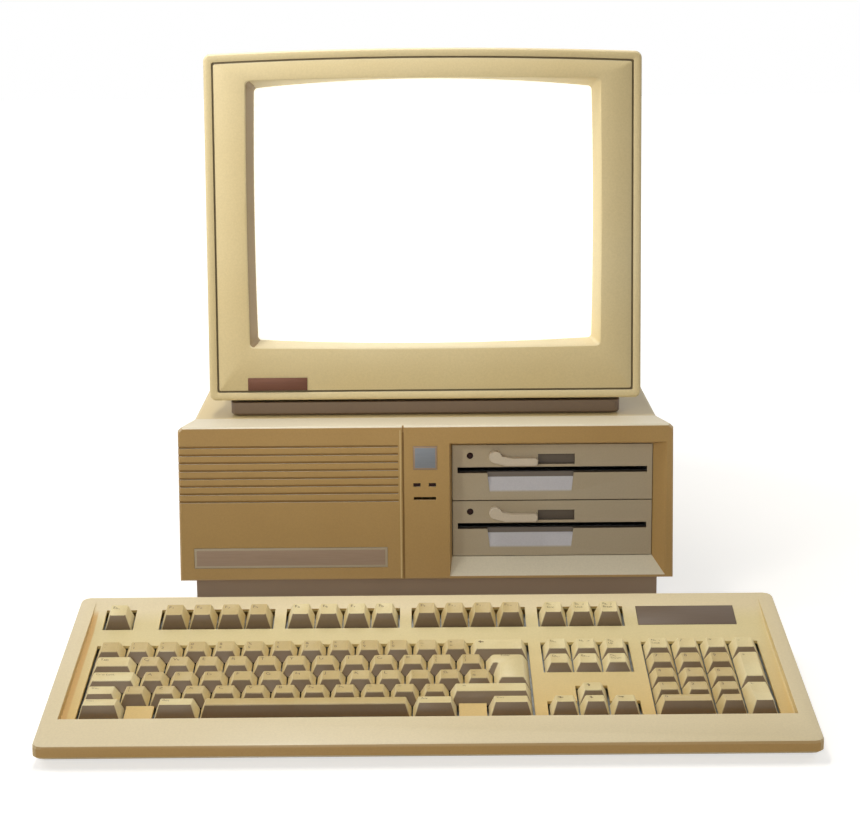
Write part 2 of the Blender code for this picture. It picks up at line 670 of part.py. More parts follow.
def top_cover():
    """The folded lid: a flat top and two sides in one sheet, with vents low down in both sides."""
    steps = 4
    outer, inner = [], []
    half = LID_WIDTH / 2
    for side, start in ((1, 0.0), (-1, math.pi / 2)):
        for radius, wall, points in ((LID_EDGE_RADIUS, 0, outer), (LID_EDGE_RADIUS - SHEET, SHEET, inner)):
            centre = (side * (half - LID_EDGE_RADIUS), UNIT_TOP - LID_EDGE_RADIUS)
            points += circle(radius, steps, centre, start, math.pi / 2)
    outline = [(half, LID_SKIRT_BOTTOM)] + outer + [(-half, LID_SKIRT_BOTTOM),
               (SHEET - half, LID_SKIRT_BOTTOM)] + inner[::-1] + [(half - SHEET, LID_SKIRT_BOTTOM)]
    mesh_data = bmesh.new()
    start_y = UNIT_FRONT_Y + FRONT_DEPTH + GAP
    add_prism(mesh_data, outline, "Y", start_y, UNIT_REAR_Y)
    cover = make_piece("top_cover", mesh_data, "painted_steel")
    vents = bmesh.new()
    for index in range(SIDE_VENT_COUNT):
        y = start_y + SIDE_VENT_LENGTH + index * SIDE_VENT_PITCH
        low = (-half - OVERRUN, y, TRAY_FLOOR + TRAY_FLANGE_HEIGHT + SIDE_VENT_LENGTH / 2)
        high = (half + OVERRUN, y + SIDE_VENT_WIDTH, low[2] + SIDE_VENT_LENGTH)
        add_box(vents, low, high)
    cut(cover, vents)


def d_outline(x, z, width, height, slant):
    """The outline of a D shaped connector, wider above."""
    return [
        (x - width / 2 + slant, z - height / 2), (x + width / 2 - slant, z - height / 2),
        (x + width / 2, z + height / 2), (x - width / 2, z + height / 2),
    ]


def chassis_tray():
    """The bottom pan with its front plinth, side flanges and the rear panel with its openings."""
    front_y = UNIT_FRONT_Y + FRONT_WALL * 3
    half = TRAY_HALF_WIDTH
    flange_top = TRAY_FLOOR + TRAY_FLANGE_HEIGHT
    plinth_top = UNIT_FRONT_BOTTOM - GAP
    mesh_data = box_mesh(((-half, front_y, TRAY_BOTTOM), (half, REAR_PANEL_Y, flange_top)))
    tray = make_piece("chassis_tray", mesh_data, "dark_steel")
    cut(tray, box_mesh(((SHEET - half, front_y + SHEET, TRAY_FLOOR),
                        (half - SHEET, REAR_PANEL_Y + OVERRUN, flange_top + OVERRUN))))
    cut(tray, box_mesh(((-half - OVERRUN, front_y - OVERRUN, plinth_top),
                        (half + OVERRUN, UNIT_FRONT_Y + FRONT_DEPTH + GAP, flange_top + OVERRUN))))
    panel = bmesh.new()
    panel_top = UNIT_TOP - SHEET - GAP
    outline = fascia_outline(half, half, TRAY_BOTTOM, panel_top, LID_EDGE_RADIUS)
    add_prism(panel, outline, "Y", REAR_PANEL_Y - SHEET, REAR_PANEL_Y)
    fuse(tray, panel)

    holes = bmesh.new()
    y0, y1 = REAR_PANEL_Y - SHEET - OVERRUN, REAR_PANEL_Y + OVERRUN
    outline = circle(GRILLE_RADIUS, ROUND, (FAN_X, FAN_Z))
    add_prism(holes, outline, "Y", y0, y1)
    add_prism(holes, circle(KEYBOARD_SOCKET_RADIUS + GAP, SMALL_ROUND, (KEYBOARD_SOCKET_X, PORT_Z)), "Y", y0, y1)
    for x, width in ((SERIAL_PORT_X, SERIAL_WIDTH), (PARALLEL_PORT_X, PARALLEL_WIDTH)):
        outline = d_outline(x, PORT_Z, width + GAP * 2, PORT_HEIGHT + GAP * 2, PORT_SLANT)
        add_prism(holes, outline, "Y", y0, y1)
    add_box(holes, (INLET_X - INLET_WIDTH / 2 - GAP, y0, INLET_Z - INLET_HEIGHT / 2 - GAP),
            (INLET_X + INLET_WIDTH / 2 + GAP, y1, INLET_Z + INLET_HEIGHT / 2 + GAP))
    half_rocker = ROCKER_WIDTH / 2 + RUNNING_GAP
    add_box(holes, (SWITCH_X - half_rocker, y0, SWITCH_Z - ROCKER_RADIUS - RUNNING_GAP),
            (SWITCH_X + half_rocker, y1, SWITCH_Z + ROCKER_RADIUS + RUNNING_GAP))
    add_box(holes, (CARD_X - BRACKET_WIDTH / 2 + SHEET, y0, BRACKET_BOTTOM + SHEET),
            (CARD_X + BRACKET_WIDTH / 2 - SHEET, y1, BRACKET_TOP - SHEET))
    cut(tray, holes)

    covers = bmesh.new()
    for index in range(SLOT_COUNT - 1):
        x = CARD_X - (index + 1) * SLOT_PITCH
        add_box(covers, (x - BRACKET_WIDTH / 2, REAR_PANEL_Y - SHEET / 2, BRACKET_BOTTOM),
                (x + BRACKET_WIDTH / 2, REAR_PANEL_Y + SHEET / 2, BRACKET_TOP))
    fuse(tray, covers)


def rubber_feet():
    """Four feet under the tray."""
    radius = UNIT_FOOT_RADIUS
    places = (("front", UNIT_FRONT_Y + UNIT_FOOT_INSET * 2), ("rear", REAR_PANEL_Y - UNIT_FOOT_INSET))
    for side_name, side in (("left", -1), ("right", 1)):
        for end_name, y in places:
            x = side * (TRAY_HALF_WIDTH - UNIT_FOOT_INSET)
            mesh_data = bmesh.new()
            profile = [(0, radius * 0.85), (UNIT_FOOT_HEIGHT / 4, radius),
                       (UNIT_FOOT_HEIGHT - GAP, radius)]
            add_turned(mesh_data, profile, "Z", (x, y), SMALL_ROUND)
            make_piece(f"{end_name}_{side_name}_foot", mesh_data, "rubber", (x, y, 0), smooth=True)


def drive_cage():
    """The open steel tray that carries both drives, on four legs down to the chassis floor."""
    side_gap = GAP * 2
    left = DRIVE_CENTRE_X - DRIVE_BODY_WIDTH / 2 - side_gap - SHEET
    right = DRIVE_CENTRE_X + DRIVE_BODY_WIDTH / 2 + side_gap + SHEET
    top = LOWER_DRIVE_BOTTOM + DRIVE_PITCH + DRIVE_BODY_HEIGHT * 0.75
    start = UNIT_FRONT_Y + FRONT_DEPTH + GAP
    end = DRIVE_BODY_Y + DRIVE_BODY_LENGTH
    bottom = TRAY_FLOOR + GAP
    cage = make_piece("drive_cage", box_mesh(((left, start, bottom), (right, end, top))), "zinc_steel")
    cut(cage, box_mesh(((left + SHEET, start - OVERRUN, CAGE_FLOOR_TOP),
                        (right - SHEET, end + OVERRUN, top + OVERRUN))))
    leg = SHEET * 10
    cut(cage, box_mesh(((left + SHEET, start - OVERRUN, bottom - OVERRUN),
                        (right - SHEET, end + OVERRUN, CAGE_FLOOR_TOP - SHEET))))
    window_bottom = LOWER_DRIVE_BOTTOM + DRIVE_PITCH / 4
    cut(cage, box_mesh(
        ((left - OVERRUN, start + leg, bottom - OVERRUN), (right + OVERRUN, end - leg, CAGE_FLOOR_TOP - SHEET * 2)),
        ((left - OVERRUN, start + leg, window_bottom), (right + OVERRUN, end - leg, top - leg)),
    ))


def drive(prefix, bottom):
    """One half-height disk drive: body, bezel, lamp and turn lever."""
    x0 = DRIVE_CENTRE_X
    body_bottom = bottom + (DRIVE_HEIGHT - DRIVE_BODY_HEIGHT) / 2
    body_half = DRIVE_BODY_WIDTH / 2
    body_end = DRIVE_BODY_Y + DRIVE_BODY_LENGTH
    slot_low, slot_high = bottom + SLOT_BOTTOM, bottom + SLOT_BOTTOM + SLOT_HEIGHT
    body = make_piece(f"{prefix}_drive_body", box_mesh((
        (x0 - body_half, DRIVE_BODY_Y, body_bottom), (x0 + body_half, body_end, body_bottom + DRIVE_BODY_HEIGHT),
    )), "zinc_steel")
    cut(body, box_mesh((
        (x0 - body_half + DRIVE_WALL, DRIVE_BODY_Y + DRIVE_WALL, body_bottom + DRIVE_WALL),
        (x0 + body_half - DRIVE_WALL, body_end - DRIVE_WALL, body_bottom + DRIVE_BODY_HEIGHT - DRIVE_WALL),
    )))
    cut(body, box_mesh((
        (x0 - SLOT_WIDTH / 2, DRIVE_BODY_Y - OVERRUN, slot_low),
        (x0 + SLOT_WIDTH / 2, DRIVE_BODY_Y + DRIVE_WALL + OVERRUN, slot_high),
    )))

    bezel = make_piece(f"{prefix}_drive_bezel", box_mesh((
        (x0 - DRIVE_WIDTH / 2, DRIVE_FRONT_Y, bottom),
        (x0 + DRIVE_WIDTH / 2, DRIVE_FRONT_Y + BEZEL_THICKNESS, bottom + DRIVE_HEIGHT),
    )), "grey_plastic")
    openings = bmesh.new()
    y0, y1 = DRIVE_FRONT_Y - OVERRUN, DRIVE_FRONT_Y + BEZEL_THICKNESS + OVERRUN
    add_box(openings, (x0 - SLOT_WIDTH / 2, y0, slot_low), (x0 + SLOT_WIDTH / 2, y1, slot_high))
    lever_z = bottom + LEVER_HEIGHT
    lamp_z = bottom + DRIVE_LAMP_HEIGHT
    add_prism(openings, circle(LEVER_SHAFT_RADIUS + GAP, SMALL_ROUND, (LEVER_X, lever_z)), "Y", y0, y1)
    add_prism(openings, circle(DRIVE_LAMP_RADIUS + GAP, SMALL_ROUND, (DRIVE_LAMP_X, lamp_z)), "Y", y0, y1)
    add_box(openings, (POCKET_LEFT, y0, bottom + POCKET_BOTTOM + GAP * 4),
            (POCKET_RIGHT, DRIVE_FRONT_Y + POCKET_DEPTH, bottom + POCKET_TOP))
    cut(bezel, openings)
    scoop = bmesh.new()
    scoop_half = SCOOP_WIDTH / 2
    low_z, high_z = bottom + SCOOP_BOTTOM, slot_low + SLOT_HEIGHT / 2
    rings = []
    for y, half_low, half_high, lower in (
        (y0, scoop_half - SCOOP_TAPER, scoop_half, low_z - OVERRUN * (slot_low - low_z) / SCOOP_DEPTH),
        (DRIVE_FRONT_Y + SCOOP_DEPTH, scoop_half, scoop_half, slot_low),
    ):
        rings.append([(SCOOP_CENTRE_X - half_low, y, lower), (SCOOP_CENTRE_X + half_low, y, lower),
                      (SCOOP_CENTRE_X + half_high, y, high_z), (SCOOP_CENTRE_X - half_high, y, high_z)])
    add_rings(scoop, rings)
    cut(bezel, scoop)

    lens = bmesh.new()
    add_turned(lens, [(DRIVE_FRONT_Y - LAMP_HEIGHT / 4, DRIVE_LAMP_RADIUS * 0.7),
                      (DRIVE_FRONT_Y, DRIVE_LAMP_RADIUS),
                      (DRIVE_FRONT_Y + BEZEL_THICKNESS, DRIVE_LAMP_RADIUS)], "Y",
               (DRIVE_LAMP_X, lamp_z), SMALL_ROUND)
    make_piece(f"{prefix}_drive_lamp", lens, "lamp_red", smooth=True)
    drive_lever(prefix, lever_z)


def drive_lever(prefix, z):
    """The turn lever: a round head, a slanted neck and a flat bar, on a shaft through the bezel."""
    back = DRIVE_FRONT_Y - GAP
    front = back - LEVER_THICKNESS
    bar_top = z - LEVER_BAR_DROP + LEVER_BAR_WIDTH / 2
    bar_bottom = z - LEVER_BAR_DROP - LEVER_BAR_WIDTH / 2
    bar_x = LEVER_X + LEVER_BAR_START
    end_x = LEVER_X + LEVER_LENGTH
    head = circle(LEVER_HEAD_RADIUS, SMALL_ROUND, (LEVER_X, z), math.radians(10), math.radians(260))
    outline = head + [
        (bar_x - LEVER_NECK / 4, bar_bottom), (end_x - LEVER_BAR_WIDTH / 4, bar_bottom),
        (end_x, bar_bottom + LEVER_BAR_WIDTH / 4), (end_x, bar_top - LEVER_BAR_WIDTH / 4),
        (end_x - LEVER_BAR_WIDTH / 4, bar_top), (bar_x + LEVER_NECK / 2, bar_top),
    ]
    mesh_data = bmesh.new()
    bevel = LEVER_THICKNESS / 6
    centre_x = (LEVER_X + end_x) / 2
    shrink = 1 - bevel * 2 / LEVER_LENGTH
    rings = []
    for y, scale in ((front, shrink), (front + bevel, 1), (back, 1)):
        rings.append([(centre_x + (x - centre_x) * scale, y, z + (up - z) * scale) for x, up in outline])
    add_rings(mesh_data, rings)
    lever = make_piece(f"{prefix}_drive_lever", mesh_data, "pale_plastic", (LEVER_X, DRIVE_FRONT_Y, z))
    shaft = bmesh.new()
    add_turned(shaft, [(back - bevel, LEVER_SHAFT_RADIUS), (DRIVE_FRONT_Y + BEZEL_THICKNESS, LEVER_SHAFT_RADIUS)],
               "Y", (LEVER_X, z), SMALL_ROUND)
    fuse(lever, shaft)


def motherboard():
    """The main circuit board on its standoffs, with chips and a row of card sockets."""
    end = REAR_PANEL_Y - SHEET - PORT_FLANGE_MARGIN
    start = end - MAIN_BOARD_LENGTH
    bottom = TRAY_FLOOR + STANDOFF_HEIGHT
    top = bottom + BOARD_THICKNESS
    width = MAIN_BOARD_RIGHT - MAIN_BOARD_LEFT
    board = make_piece("motherboard", box_mesh((
        (MAIN_BOARD_LEFT, start, bottom), (MAIN_BOARD_RIGHT, end, top))), "circuit_board")
    parts = bmesh.new()
    sink = BOARD_THICKNESS / 2
    for x_share, y_share, w_share, l_share in MAIN_BOARD_CHIP_SHARES:
        x = MAIN_BOARD_LEFT + width * x_share
        y = start + MAIN_BOARD_LENGTH * y_share
        half_w, half_l = width * w_share / 2, MAIN_BOARD_LENGTH * l_share / 2
        add_box(parts, (x - half_w, y - half_l, top - sink), (x + half_w, y + half_l, top + CHIP_HEIGHT))
    for index in range(SLOT_COUNT):
        x = CARD_X - index * SLOT_PITCH
        add_box(parts, (x - SLOT_SOCKET_WIDTH / 2, end - SLOT_SOCKET_LENGTH * 1.5, top - sink),
                (x + SLOT_SOCKET_WIDTH / 2, end - SLOT_SOCKET_LENGTH / 2, top + SLOT_SOCKET_HEIGHT))
    for x_share in (0.05, 0.95):
        for y_share in (0.04, 0.5, 0.96):
            centre = (MAIN_BOARD_LEFT + width * x_share, start + MAIN_BOARD_LENGTH * y_share)
            add_turned(parts, [(TRAY_FLOOR + GAP, STANDOFF_RADIUS), (bottom + sink, STANDOFF_RADIUS)],
                       "Z", centre, SMALL_ROUND // 2)
    fuse(board, parts)


def expansion_card():
    """A card in the first socket, with its steel bracket and the video connector at the rear."""
    socket_top = TRAY_FLOOR + STANDOFF_HEIGHT + BOARD_THICKNESS + SLOT_SOCKET_HEIGHT
    bottom = socket_top + GAP
    end = REAR_PANEL_Y - SHEET - GAP
    thickness = BOARD_THICKNESS
    card = make_piece("expansion_card", box_mesh((
        (CARD_X - thickness / 2, end - CARD_LENGTH, bottom),
        (CARD_X + thickness / 2, end - SHEET / 2, bottom + CARD_HEIGHT))), "circuit_board")
    parts = bmesh.new()
    add_box(parts, (CARD_X - BRACKET_WIDTH / 2, end - SHEET, BRACKET_BOTTOM),
            (CARD_X + BRACKET_WIDTH / 2, end, BRACKET_TOP))
    for share in (0.25, 0.6):
        y = end - CARD_LENGTH * share
        z = bottom + CARD_HEIGHT / 2
        add_box(parts, (CARD_X - thickness / 2 - CHIP_HEIGHT, y - CHIP_HEIGHT * 3, z - CHIP_HEIGHT * 3),
                (CARD_X, y + CHIP_HEIGHT * 3, z + CHIP_HEIGHT * 3))
    fuse(card, parts)
    plug = bmesh.new()
    outline = [(CARD_X + b - BRACKET_BOTTOM, a) for a, b in
               d_outline((BRACKET_BOTTOM + BRACKET_TOP) / 2, BRACKET_BOTTOM, SERIAL_WIDTH, PORT_HEIGHT, PORT_SLANT)]
    add_prism(plug, outline, "Y", end - SHEET / 2, REAR_PANEL_Y + REAR_RECESS / 2)
    fuse(card, plug)


def rear_port(name, x, width):
    """A D shaped connector with its flange behind the rear panel."""
    flange_y = REAR_PANEL_Y - SHEET - GAP
    mesh_data = box_mesh((
        (x - width / 2 - PORT_FLANGE_MARGIN, flange_y - SHEET * 4, PORT_Z - PORT_FLANGE_HEIGHT / 2 - SHEET),
        (x + width / 2 + PORT_FLANGE_MARGIN, flange_y, PORT_Z + PORT_FLANGE_HEIGHT / 2 + SHEET)))
    port = make_piece(name, mesh_data, "zinc_steel")
    shell = bmesh.new()
    add_prism(shell, d_outline(x, PORT_Z, width, PORT_HEIGHT, PORT_SLANT), "Y",
              flange_y - SHEET, REAR_PANEL_Y + REAR_RECESS / 2)
    fuse(port, shell)


def keyboard_socket():
    """The round socket for the keyboard's plug."""
    flange_y = REAR_PANEL_Y - SHEET - GAP
    mesh_data = bmesh.new()
    add_turned(mesh_data, [
        (flange_y - REAR_RECESS, KEYBOARD_SOCKET_RADIUS * 1.2), (flange_y, KEYBOARD_SOCKET_RADIUS * 1.2),
        (flange_y + SHEET / 4, KEYBOARD_SOCKET_RADIUS), (REAR_PANEL_Y + SHEET, KEYBOARD_SOCKET_RADIUS),
    ], "Y", (KEYBOARD_SOCKET_X, PORT_Z), ROUND)
    make_piece("keyboard_socket", mesh_data, "dark_plastic", smooth=True)


def mains_inlet(name, x, y, z, parent=None):
    """A mains inlet whose outer face stands at y, with a cavity for the plug."""
    half_w, half_h = INLET_WIDTH / 2, INLET_HEIGHT / 2
    inlet = make_piece(name, box_mesh((
        (x - half_w, y - INLET_DEPTH, z - half_h), (x + half_w, y + INLET_FLANGE, z + half_h))),
        "dark_plastic", parent=parent)
    cut(inlet, box_mesh((
        (x - half_w + INLET_RIM, y - INLET_DEPTH + INLET_RIM, z - half_h + INLET_RIM),
        (x + half_w - INLET_RIM, y + INLET_FLANGE + OVERRUN, z + half_h - INLET_RIM))), parent)


def power_supply_case():
    """The supply's steel box, with the fan's grille, the switch housing and the inlet's opening."""
    rear = REAR_PANEL_Y - SHEET - GAP
    front = rear - SUPPLY_LENGTH
    bottom = TRAY_FLOOR + GAP
    case = make_piece("power_supply_case", box_mesh((
        (SUPPLY_LEFT, front, bottom), (SUPPLY_RIGHT, rear, SUPPLY_TOP))), "zinc_steel")
    cut(case, box_mesh(((SUPPLY_LEFT + SHEET, front + SHEET, bottom + SHEET),
                        (SUPPLY_RIGHT - SHEET, rear - SHEET, SUPPLY_TOP - SHEET))))
    sectors = bmesh.new()
    rings = ((GRILLE_HUB_RADIUS, GRILLE_RING_RADIUS - GRILLE_SPOKE / 2),
             (GRILLE_RING_RADIUS + GRILLE_SPOKE / 2, GRILLE_RADIUS - GRILLE_SPOKE / 2))
    for inner, outer in rings:
        for index in range(GRILLE_SECTORS):
            middle = math.tau * index / GRILLE_SECTORS
            half_outer = math.pi / GRILLE_SECTORS - math.asin(GRILLE_SPOKE / 2 / outer)
            half_inner = math.pi / GRILLE_SECTORS - math.asin(GRILLE_SPOKE / 2 / inner)
            outline = circle(outer, 4, (FAN_X, FAN_Z), middle - half_outer, 2 * half_outer)
            outline += circle(inner, 3, (FAN_X, FAN_Z), middle + half_inner, -2 * half_inner)
            add_prism(sectors, outline, "Y", rear - SHEET - OVERRUN, rear + OVERRUN)
    cut(case, sectors)
    housing = bmesh.new()
    half_w = ROCKER_WIDTH / 2 + RUNNING_GAP
    half_h = ROCKER_RADIUS + RUNNING_GAP
    pivot_y = rear
    deep = ROCKER_RADIUS
    add_box(housing, (SWITCH_X - half_w - ROCKER_WALL, rear - deep - ROCKER_WALL, SWITCH_Z - half_h - ROCKER_WALL),
            (SWITCH_X + half_w + ROCKER_WALL, rear - SHEET / 2, SWITCH_Z + half_h + ROCKER_WALL))
    add_turned(housing, [(rear - SHEET / 2, GRILLE_HUB_RADIUS / 2), (rear - SHEET - FAN_TO_GRILLE, GRILLE_HUB_RADIUS / 2)],
               "Y", (FAN_X, FAN_Z), SMALL_ROUND)
    fuse(case, housing)
    holes = bmesh.new()
    add_box(holes, (SWITCH_X - half_w, rear - deep, SWITCH_Z - half_h),
            (SWITCH_X + half_w, rear + OVERRUN, SWITCH_Z + half_h))
    add_box(holes, (INLET_X - INLET_WIDTH / 2 - GAP, rear - SHEET - OVERRUN, INLET_Z - INLET_HEIGHT / 2 - GAP),
            (INLET_X + INLET_WIDTH / 2 + GAP, rear + OVERRUN, INLET_Z + INLET_HEIGHT / 2 + GAP))
    cut(case, holes)
    pin_holes = bmesh.new()
    add_turned(pin_holes, [(SWITCH_X - half_w - ROCKER_PIN_LENGTH, ROCKER_PIN_RADIUS + GAP),
                           (SWITCH_X + half_w + ROCKER_PIN_LENGTH, ROCKER_PIN_RADIUS + GAP)],
               "X", (pivot_y - ROCKER_BACK, SWITCH_Z), SMALL_ROUND // 2)
    cut(case, pin_holes)


def rocker_switch(name, x, pivot_y, z, parent=None):
    """A rocker on two short pins, drawn with its upper end pressed in."""
    mesh_data = bmesh.new()
    reach = ROCKER_BACK
    radius = ROCKER_RADIUS
    top_angle = math.asin(reach / radius) + ROCKER_FACE_ANGLE
    points = [
        (radius * math.sin(top_angle), radius * math.cos(top_angle)),
        (reach * 0.8, 0.0),
        (radius * math.sin(top_angle), -radius * math.cos(top_angle)),
        (-reach, -radius * 0.75), (-reach, radius * 0.75),
    ]
    turn = Matrix.Rotation(ROCKER_HALF_SWING, 2)
    turned = [turn @ Vector(point) for point in points]
    outline = [(pivot_y + point.x, z + point.y) for point in turned]
    add_prism(mesh_data, outline, "X", x - ROCKER_WIDTH / 2, x + ROCKER_WIDTH / 2)
    rocker = make_piece(name, mesh_data, "dark_plastic", (x, pivot_y, z), parent)
    pins = bmesh.new()
    reach_x = ROCKER_WIDTH / 2 + RUNNING_GAP + ROCKER_PIN_LENGTH - GAP
    add_turned(pins, [(x - reach_x, ROCKER_PIN_RADIUS), (x + reach_x, ROCKER_PIN_RADIUS)],
               "X", (pivot_y, z), SMALL_ROUND // 2)
    fuse(rocker, pins, parent)


def psu_fan():
    """The supply's fan: a hub with twisted blades, turning on the grille's centre boss."""
    rear = REAR_PANEL_Y - SHEET - GAP
    back = rear - SHEET - FAN_TO_GRILLE - GAP
    front = back - FAN_DEPTH
    mesh_data = bmesh.new()
    add_turned(mesh_data, [(front, FAN_HUB_RADIUS * 0.8), (front + FAN_DEPTH / 8, FAN_HUB_RADIUS),
                           (back, FAN_HUB_RADIUS)], "Y", (FAN_X, FAN_Z), ROUND)
    fan = make_piece("psu_fan", mesh_data, "dark_plastic", (FAN_X, (front + back) / 2, FAN_Z), smooth=True)
    blades = bmesh.new()
    middle = (front + back) / 2
    thickness = FAN_DEPTH / 12
    for index in range(FAN_BLADES):
        angle = math.tau * index / FAN_BLADES
        rings = []
        for radius, half_chord, pitch in ((FAN_HUB_RADIUS * 0.8, FAN_DEPTH * 0.42, math.radians(48)),
                                          ((FAN_HUB_RADIUS + FAN_RADIUS) / 2, FAN_DEPTH * 0.5, math.radians(38)),
                                          (FAN_RADIUS, FAN_DEPTH * 0.5, math.radians(28))):
            ring = []
            for along, across in ((-1, -1), (1, -1), (1, 1), (-1, 1)):
                side = along * half_chord * math.cos(pitch) - across * thickness / 2 * math.sin(pitch)
                y = along * half_chord * math.sin(pitch) + across * thickness / 2 * math.cos(pitch)
                ring.append((FAN_X + radius * math.cos(angle) - side * math.sin(angle), middle + y,
                             FAN_Z + radius * math.sin(angle) + side * math.cos(angle)))
            rings.append(ring)
        add_rings(blades, rings)
    fuse(fan, blades)


# Monitor

def monitor_frame():
    """An empty at the foot of the monitor's raked face: X to the right, Y into the set, Z up the face."""
    frame = bpy.data.objects.new("monitor_frame", None)
    frame.location = (0, MONITOR_FRONT_Y, MONITOR_BOTTOM)
    frame.rotation_euler = (-MONITOR_RAKE, 0, 0)
    bpy.context.collection.objects.link(frame)
    return frame


def glass_y(x, z):
    """How deep the tube's face lies behind the monitor's front plane."""
    return TUBE_APEX_Y + (x * x + (z - SCREEN_CENTRE_Z) ** 2) / (2 * TUBE_FACE_RADIUS)


def frame_ring(inset, y):
    """The monitor's outer outline, drawn in by an inset: straight sides and a crowned top."""
    half = MONITOR_WIDTH / 2 - inset
    middle = MONITOR_HEIGHT / 2
    corner = max(MONITOR_CORNER - inset, MONITOR_EDGE)
    points = barrel_outline(half, middle - inset, 0, 0, corner, middle)
    crowned = []
    for x, z in points:
        lift = MONITOR_CROWN * (1 - (x / half) ** 2) if z > middle else 0
        crowned.append((x, y, z + lift))
    return crowned


def opening_ring(grow, y):
    outline = barrel_outline(OPENING_HALF_WIDTH + grow, OPENING_HALF_HEIGHT + grow, OPENING_SIDE_BOW,
                             OPENING_END_BOW, OPENING_CORNER + grow, SCREEN_CENTRE_Z)
    return [(x, y, z) for x, z in outline]


def screen_ring(grow, lift):
    """The inner edge of the screen surround, which follows the tube's curved face."""
    outline = barrel_outline(SCREEN_HALF_WIDTH + grow, SCREEN_HALF_HEIGHT + grow, SCREEN_SIDE_BOW,
                             SCREEN_END_BOW, SCREEN_CORNER + grow, SCREEN_CENTRE_Z)
    return [(x, glass_y(x, z) - lift, z) for x, z in outline]


def monitor_bezel(frame):
    """The front moulding: outer rim, inset frame line and the sloping screen surround."""
    rings = [
        frame_ring(0, MONITOR_FRONT_DEPTH),
        frame_ring(0, MONITOR_EDGE * 2),
        frame_ring(MONITOR_EDGE / 3, MONITOR_EDGE / 2),
        frame_ring(MONITOR_EDGE, 0),
        frame_ring(FRAME_LINE_INSET, 0),
        frame_ring(FRAME_LINE_INSET + FRAME_LINE_WIDTH / 4, FRAME_LINE_DEPTH),
        frame_ring(FRAME_LINE_INSET + FRAME_LINE_WIDTH * 3 / 4, FRAME_LINE_DEPTH),
        frame_ring(FRAME_LINE_INSET + FRAME_LINE_WIDTH, 0),
        opening_ring(0, 0),
        screen_ring(0, GAP + LIP_THICKNESS),
        screen_ring(0, GAP),
        screen_ring(LIP_THICKNESS, GAP),
        opening_ring(MONITOR_WALL, MONITOR_WALL),
        frame_ring(FRAME_LINE_INSET + FRAME_LINE_WIDTH * 2, MONITOR_WALL + FRAME_LINE_DEPTH),
        frame_ring(MONITOR_WALL, MONITOR_WALL + FRAME_LINE_DEPTH),
        frame_ring(MONITOR_WALL, MONITOR_FRONT_DEPTH),
    ]
    mesh_data = bmesh.new()
    add_rings(mesh_data, rings, ring_of_rings=True)
    make_piece("monitor_bezel", mesh_data, "cream_plastic", parent=frame, smooth=True)


def crt_tube(frame):
    """The picture tube: curved face, skirt, funnel and neck."""
    mesh_data = bmesh.new()
    face_half_w = SCREEN_HALF_WIDTH + TUBE_MARGIN
    face_half_h = SCREEN_HALF_HEIGHT + TUBE_MARGIN

    def panel(scale, y=None, shrink=0.0):
        outline = barrel_outline(face_half_w * scale - shrink, face_half_h * scale - shrink,
                                 SCREEN_SIDE_BOW * scale, SCREEN_END_BOW * scale,
                                 SCREEN_CORNER * 2 * scale, SCREEN_CENTRE_Z)
        return [(x, glass_y(x, z) if y is None else y, z) for x, z in outline]

    rings = [panel(share) for share in (0.18, 0.5, 0.78, 1.0)]
    rings.append(panel(1.0, TUBE_SKIRT_Y))
    skirt = panel(1.0, TUBE_SKIRT_Y)
    for share in (0.15, 0.4, 0.7, 1.0):
        y = TUBE_SKIRT_Y + FUNNEL_LENGTH * share
        blend = math.sin(share * math.pi / 2) ** 0.8
        ring = []
        for x, _, z in skirt:
            angle = math.atan2(z - SCREEN_CENTRE_Z, x)
            round_x, round_z = NECK_RADIUS * math.cos(angle), NECK_RADIUS * math.sin(angle)
            ring.append((x + (round_x - x) * blend, y,
                         z + (SCREEN_CENTRE_Z + round_z - z) * blend))
        rings.append(ring)
    rings.append([(x, NECK_END_Y, z) for x, _, z in rings[-1]])
    add_rings(mesh_data, rings)
    tube = make_piece("crt_tube", mesh_data, "glass", (0, 0, SCREEN_CENTRE_Z), frame, smooth=True)

    def hollow_ring(ring, wall, y_shift=0.0):
        """A ring drawn in towards the tube's axis by a wall."""
        inner = []
        for x, y, z in ring:
            reach = math.hypot(x, z - SCREEN_CENTRE_Z)
            share = (reach - wall) / reach
            inner.append((x * share, y + y_shift, SCREEN_CENTRE_Z + (z - SCREEN_CENTRE_Z) * share))
        return inner

    hollow = bmesh.new()
    inside = [hollow_ring(rings[3], FACE_GLASS, FACE_GLASS), hollow_ring(rings[4], FACE_GLASS)]
    inside += [hollow_ring(ring, FUNNEL_GLASS) for ring in rings[5:-1]]
    inside.append(hollow_ring(rings[-1], FUNNEL_GLASS, OVERRUN))
    add_rings(hollow, inside)
    cut(tube, hollow, frame)


